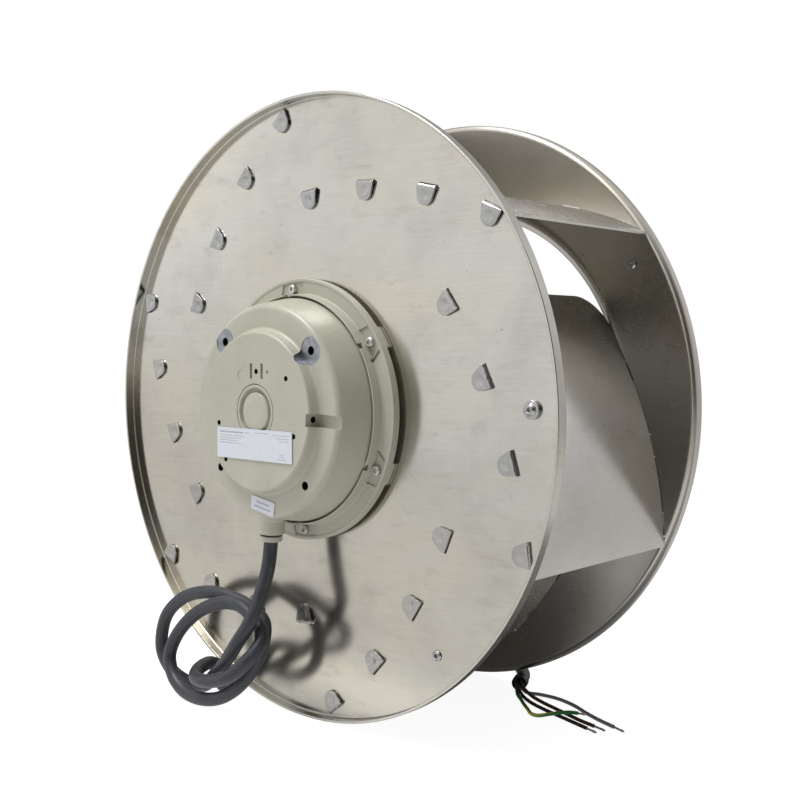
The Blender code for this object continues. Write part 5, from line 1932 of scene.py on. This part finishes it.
@dataclass
class Stator:
    """Motor's fixed casting, its cap, its labels and the cable gland.

    Its sizes are in millimetres and its angles in degrees.
    """

    steps: int = 192
    seat: float = 90.0
    plateau: float = 69.3
    rise: float = 10.0
    outer: float = 99.5
    holes: float = 80.6
    boss_depth: float = 14.0
    boss_end: float = 109.5
    pin_places: tuple[tuple[float, float], ...] = (
        (40.7, 29.6), (-49.8, -11.5), (2.1, 35.1), (50.2, -18.7), (-40.4, -43.6),
    )

    def hole_angles(self) -> list[float]:
        """Angles of the four mounting holes, in degrees."""
        return [CAST_TURN + 45 + 90 * i for i in range(4)]

    def out(self, angle: float) -> tuple[Vector, Vector]:
        """Directions outwards and sideways at an angle."""
        return polar(1, angle), polar(1, angle + 90)

    def hole_places(self, depth: float) -> list[Vector]:
        """Middles of the four mounting holes at a depth in millimetres."""
        return [polar(self.holes * MM, angle, depth * MM) for angle in self.hole_angles()]

    def cast_body(self, finishes: Finishes) -> None:
        """Makes the casting: turned body, boss, holes, spot faces, channel and face marks.

        Args:
            finishes: the shared finishes.
        """
        top = -self.rise
        profile = rounded([
            (24.4, top, 0.25), (self.plateau, top, 2.2), (self.plateau + 2.2, 0, 3.4),
            (self.seat + 3.2, 0, 5.5), (self.outer, 32.2, 0.6), (self.outer, 44, 0.4), (93.5, 44, 0),
            (84, 10, 0), (80, 6, 0), (30, 6, 0), (30, 99.5, 0), (23.8, 99.5, 0), (23.8, 83, 0),
            (21.5, 83, 0), (21.5, 20, 0), (23.8, 20, 0), (23.8, -5, 0), (24.4, -5, 0),
        ], 7)
        body = turned("stator_body", profile, self.steps)
        self.add_boss(body)
        self.drill(body)
        self.cut_channel(body)
        self.mark_face(body)
        settle(body, "stator_body", 26)
        dress(body, finishes.casting)
        self.bare_faces(body)
        hand_over(body, "motor", "stator_casting", "stator_housing")

    def boss_frame(self) -> Matrix:
        """Turns the fan's axis direction outwards along the cable boss."""
        out, side = self.out(CAST_TURN - 90)
        return facing(side, out, side.cross(out), Vector((0, self.boss_depth * MM, 0)))

    def add_boss(self, body: Piece) -> None:
        """Cable boss with a filleted root, and its bore.

        Args:
            body: the casting.
        """
        profile = rounded([
            (9, 84, 0), (14.4, 84, 0), (13.4, 93, 3), (12, 98, 2), (12, self.boss_end, 0.9),
            (9, self.boss_end, 0),
        ], 4)
        boss = turned("boss", profile, 96)
        place(boss, self.boss_frame())
        work(body, boss, "UNION")
        out, _ = self.out(CAST_TURN - 90)
        depth = Vector((0, self.boss_depth * MM, 0))
        lining = rod(10.5 * MM, out * 84 * MM + depth, out * 100 * MM + depth, 48)
        work(body, lining, "UNION")
        work(body, rod(6.9 * MM, out * 78 * MM + depth, out * 112 * MM + depth, 48))

    def drill(self, body: Piece) -> None:
        """Adds the lugs and cuts the mounting holes and the upper two spot faces.

        Args:
            body: the casting.
        """
        for radius, low, high, steps, count, how in (
            (7, 3, 22, 32, 4, "UNION"),
            (3.8, -12, 18, 40, 4, "DIFFERENCE"),
            (12, -11, 0.4, 72, 2, "DIFFERENCE"),
        ):
            ends = list(zip(self.hole_places(low), self.hole_places(high)))[:count]
            work(body, joined([rod(radius * MM, start, end, steps) for start, end in ends]), how)

    def cut_channel(self, body: Piece) -> None:
        """Cuts the drain channel across the seat, and the drain hole at its root.

        Args:
            body: the casting.
        """
        out, side = self.out(CAST_TURN)
        up = Vector((0, -1, 0))
        start, end = self.plateau - 4, self.seat + 12
        where = facing(out, side, up, out * (start + end) / 2 * MM + Vector((0, -4 * MM, 0)))
        tool = block(((end - start) * MM, 11 * MM, 16 * MM), where)
        finish_with(tool, "BEVEL", width=1.0 * MM, segments=3, limit_method="NONE")
        work(body, tool)
        depth = Vector((0, -1.6 * MM, 0))
        work(body, rod(2.8 * MM, out * 55 * MM + depth, out * 72 * MM + depth, 32))

    def mark_face(self, body: Piece) -> None:
        """Cuts pin holes, two slots, an ejector mark and a dimple in the raised face.

        Args:
            body: the casting.
        """
        top = -self.rise
        tools = []
        marks = [(x, z, 2.3, 6.0) for x, z in self.pin_places]
        for x, z, radius, deep in (*marks, (17.0, 34.6, 1.8, 0.9), (-17.8, 31.4, 5.2, 0.3)):
            start, end = Vector((x, top - 3, z)) * MM, Vector((x, top + deep, z)) * MM
            tools.append(rod(radius * MM, start, end, 32))
        for x in (-4.8, 9.4):
            where = Matrix.Translation(Vector((x, top, 35.4)) * MM)
            tools.append(block((3.0 * MM, 7 * MM, 13.0 * MM), where))
        work(body, joined(tools))

    def on_spot(self, co: Vector, normal: Vector) -> bool:
        """Whether a face belongs to one of the two machined spot faces.

        Args:
            co: the face's middle.
            normal: its normal.

        Returns:
            True on a spot face's floor or on the low wall round it.
        """
        flat = Vector((co.x, 0, co.z))
        middle = min(self.hole_places(0)[:2], key=lambda m: (flat - m).length)
        inward = (middle - flat).normalized()
        floor = 0.3 * MM < co.y < 0.5 * MM and normal.y < -0.95
        wall = normal.dot(inward) > 0.97 and co.y < 0.5 * MM
        return (flat - middle).length < 12.1 * MM and (floor or wall)

    def in_bore(self, co: Vector, normal: Vector) -> bool:
        """Whether a face lies inside a mounting hole, a pin hole or the drain hole.

        Args:
            co: the face's middle.
            normal: its normal.

        Returns:
            True in any of the holes.
        """
        flat = Vector((co.x, 0, co.z))
        near = min((middle - flat).length for middle in self.hole_places(0))
        pin = min((Vector((x, 0, z)) * MM - flat).length for x, z in self.pin_places)
        out, side = self.out(CAST_TURN)
        drain = math.hypot(co.dot(side), co.y + 1.6 * MM) < 2.95 * MM and 0.04 < co.dot(out) < 0.0712
        drain = drain and abs(normal.dot(out)) < 0.5
        hole = near < 4.0 * MM and 0.6 * MM < co.y < 18.5 * MM
        return hole or drain or (pin < 2.6 * MM and -9.9 * MM < co.y < 0)

    def bare_faces(self, body: Piece) -> None:
        """Gives the spot faces bare machined metal and paints shade into the holes with a near-black
        metal.

        Args:
            body: the casting.
        """
        middles = tuple((m.x, m.z) for m in self.hole_places(0)[:2])
        metal = MachinedFace("spot_face_metal", middles).build()
        # Painted shade: the near-black metal in the mounting, pin and drain holes stands in for the
        # shadow inside them.
        dark = Steel("bore_painted_shade", (0.1, 0.1, 0.1), (0.05, 0.05, 0.05), 0.5).build()
        for material in (metal, dark):
            body.data.materials.append(material)
        with editing(body):
            bpy.ops.mesh.select_mode(type="FACE")
            for slot, test in ((1, self.on_spot), (2, self.in_bore)):
                bpy.ops.mesh.select_all(action="DESELECT")
                pick(body, "faces", test)
                body.active_material_index = slot
                bpy.ops.object.material_slot_assign()

    def turn_cap(self, finishes: Finishes) -> None:
        """Round cap with its moat and button.

        Args:
            finishes: the shared finishes.
        """
        top = -self.rise
        profile = rounded([
            (0.05, top - 0.3, 0), (10, top - 0.25, 4), (16.6, top + 0.4, 1.2), (17.4, top + 4, 1.0),
            (19.8, top + 4, 0.9), (21.0, top, 0.5), (23.7, top, 0.4), (23.7, top + 4.7, 0.2),
            (23.2, top + 4.7, 0), (23.2, -2, 0.2), (21.2, -2, 0.2), (21.2, top + 4.7, 0),
            (0.05, top + 4.7, 0),
        ], 5)
        cap = turned("bearing_cap", profile, 96, closed=False)
        dress(cap, finishes.casting)
        hand_over(cap, "motor", "stator_casting", "end_cap")

    def stick_label(
        self, name: str, size: tuple[float, float], low: float, film: PaleFilm, node: str
    ) -> None:
        """Sticks one bare label with rounded corners, where its film is.

        Args:
            name: the piece's name.
            size: width and height in millimetres.
            low: depth of its back in millimetres.
            film: its finish, with its middle and its turn.
            node: the CAD node that it stands for.
        """
        x, z = film.middle
        where = Matrix.Translation(Vector((x, low - 0.25, z)) * MM) @ turn_about_axis(film.turn)
        label = block((size[0] * MM, 0.5 * MM, size[1] * MM), Matrix.Identity(4))
        with editing(label):
            bpy.ops.mesh.select_mode(type="EDGE")
            pick(label, "edges", lambda co, normal: abs(co.y) < 0.1 * MM)
            bpy.ops.mesh.bevel(offset=1.2 * MM, segments=5)
            bpy.ops.mesh.select_all(action="DESELECT")
            bpy.ops.mesh.select_mode(type="FACE")
            pick(label, "faces", lambda co, normal: normal.y < -0.9)
            bpy.ops.mesh.inset(thickness=0.35 * MM)
            bpy.ops.transform.translate(value=(0, -0.04 * MM, 0))
        place(label, where)
        settle(label, name, 30)
        dress(label, film.build())
        hand_over(label, "motor", "label", node)

    def stick_labels(self) -> None:
        """Sticks the large label on the raised face and the small one above the boss."""
        rules = (
            (-46, -14, 9.6, 1.5), (-46, -12, 6.6, 0.7), (-46, -17, 4.4, 0.7), (-46, -21, 2.2, 0.7),
            (-46, -16, 0.0, 0.7), (2, 20, 10.4, 0.6), (26, 46, 9.6, 0.6), (30, 46, 7.0, 0.6),
            (34, 46, 4.6, 0.6), (-12, -6, 9.8, 0.6), (30, 42, -10.6, 0.6), (34, 40, -6.6, 0.6),
            (34, 40, -8.4, 0.6),
        )
        film = PaleFilm("large_label_film", (-1.2, -28.5), 0.0, rules)
        self.stick_label("rating_label", (100, 27), -10.4, film, "large_label")
        middle = polar(82.8, -91)
        rules = ((-9, 9, 2.0, 1.6), (-11, 11, -2.2, 1.6))
        film = PaleFilm("small_label_film", (middle.x, middle.z), -9.3, rules)
        self.stick_label("tally_label", (31, 12.5), -0.3, film, "small_label")

    def fit_gland(self, finishes: Finishes) -> None:
        """Rubber seal and collar round the cable.

        Args:
            finishes: the shared finishes.
        """
        start = self.boss_end + 0.3
        seal = turned("seal_ring", rounded([
            (6.6, start, 0.1), (9.6, start, 0.3), (9.6, start + 1.2, 0.3), (6.6, start + 1.2, 0.1),
        ], 3), 64)
        place(seal, self.boss_frame())
        hand_over(dress(seal, finishes.rubber), "motor", "rubber", "gland_seal")
        start += 1.5
        collar = turned("collar_ring", rounded([
            (6.6, start, 0.3), (10.2, start, 0.7), (10.2, start + 5, 1.1), (7.4, start + 5, 0.4),
            (6.6, start + 4.2, 0.2),
        ], 4), 72)
        place(collar, self.boss_frame())
        hand_over(dress(collar, finishes.casting), "motor", "stator_casting", "gland_collar")

    def build(self, finishes: Finishes) -> None:
        """Makes the stator's outside.

        Args:
            finishes: the shared finishes.
        """
        self.cast_body(finishes)
        self.turn_cap(finishes)
        self.stick_labels()
        self.fit_gland(finishes)


# Kept CAD nodes


class KeptParts:
    """CAD nodes whose shape is right, given a better finish."""

    def __init__(self, nodes: dict[str, Piece]) -> None:
        """Takes the frame's nodes."""
        self.nodes = nodes

    def refinish(self, names: Iterable[str], material: Material) -> None:
        """Puts one material in the slots of the named nodes.

        Args:
            names: the nodes.
            material: what they get.
        """
        for name in names:
            for slot in self.nodes[name].material_slots:
                slot.material = material
            LOG.info("%s keeps its solid in %s", name, material.name)

    def build(self, finishes: Finishes) -> None:
        """Refinishes every kept node.

        Args:
            finishes: the shared finishes.
        """
        self.refinish([f"rotor_nut_{i}" for i in range(1, 7)], finishes.screw)
        self.refinish(["stator_core", "rotor_core"], finishes.stack)
        self.refinish(["winding_rear", "winding_front"], finishes.wire)
        parts = ("outer", "inner", "cage")
        bearings = [f"bearing_{end}_{part}" for end in ("rear", "front") for part in parts]
        self.refinish([*bearings, "shaft", "shaft_ring", "wave_spring"], finishes.ground)


def main() -> None:
    """Builds the studio, the cable, the wheel and the motor."""
    logging.basicConfig(level=logging.INFO, format="%(name)s: %(message)s")
    Studio().build()
    MotorCable().build()
    finishes = Finishes()
    rotor = Rotor()
    Wheel().build(finishes, rotor.screw_angles())
    rotor.build(finishes)
    Stator().build(finishes)
    KeptParts(frame["nodes"]).build(finishes)


if __name__ == "__main__":
    main()
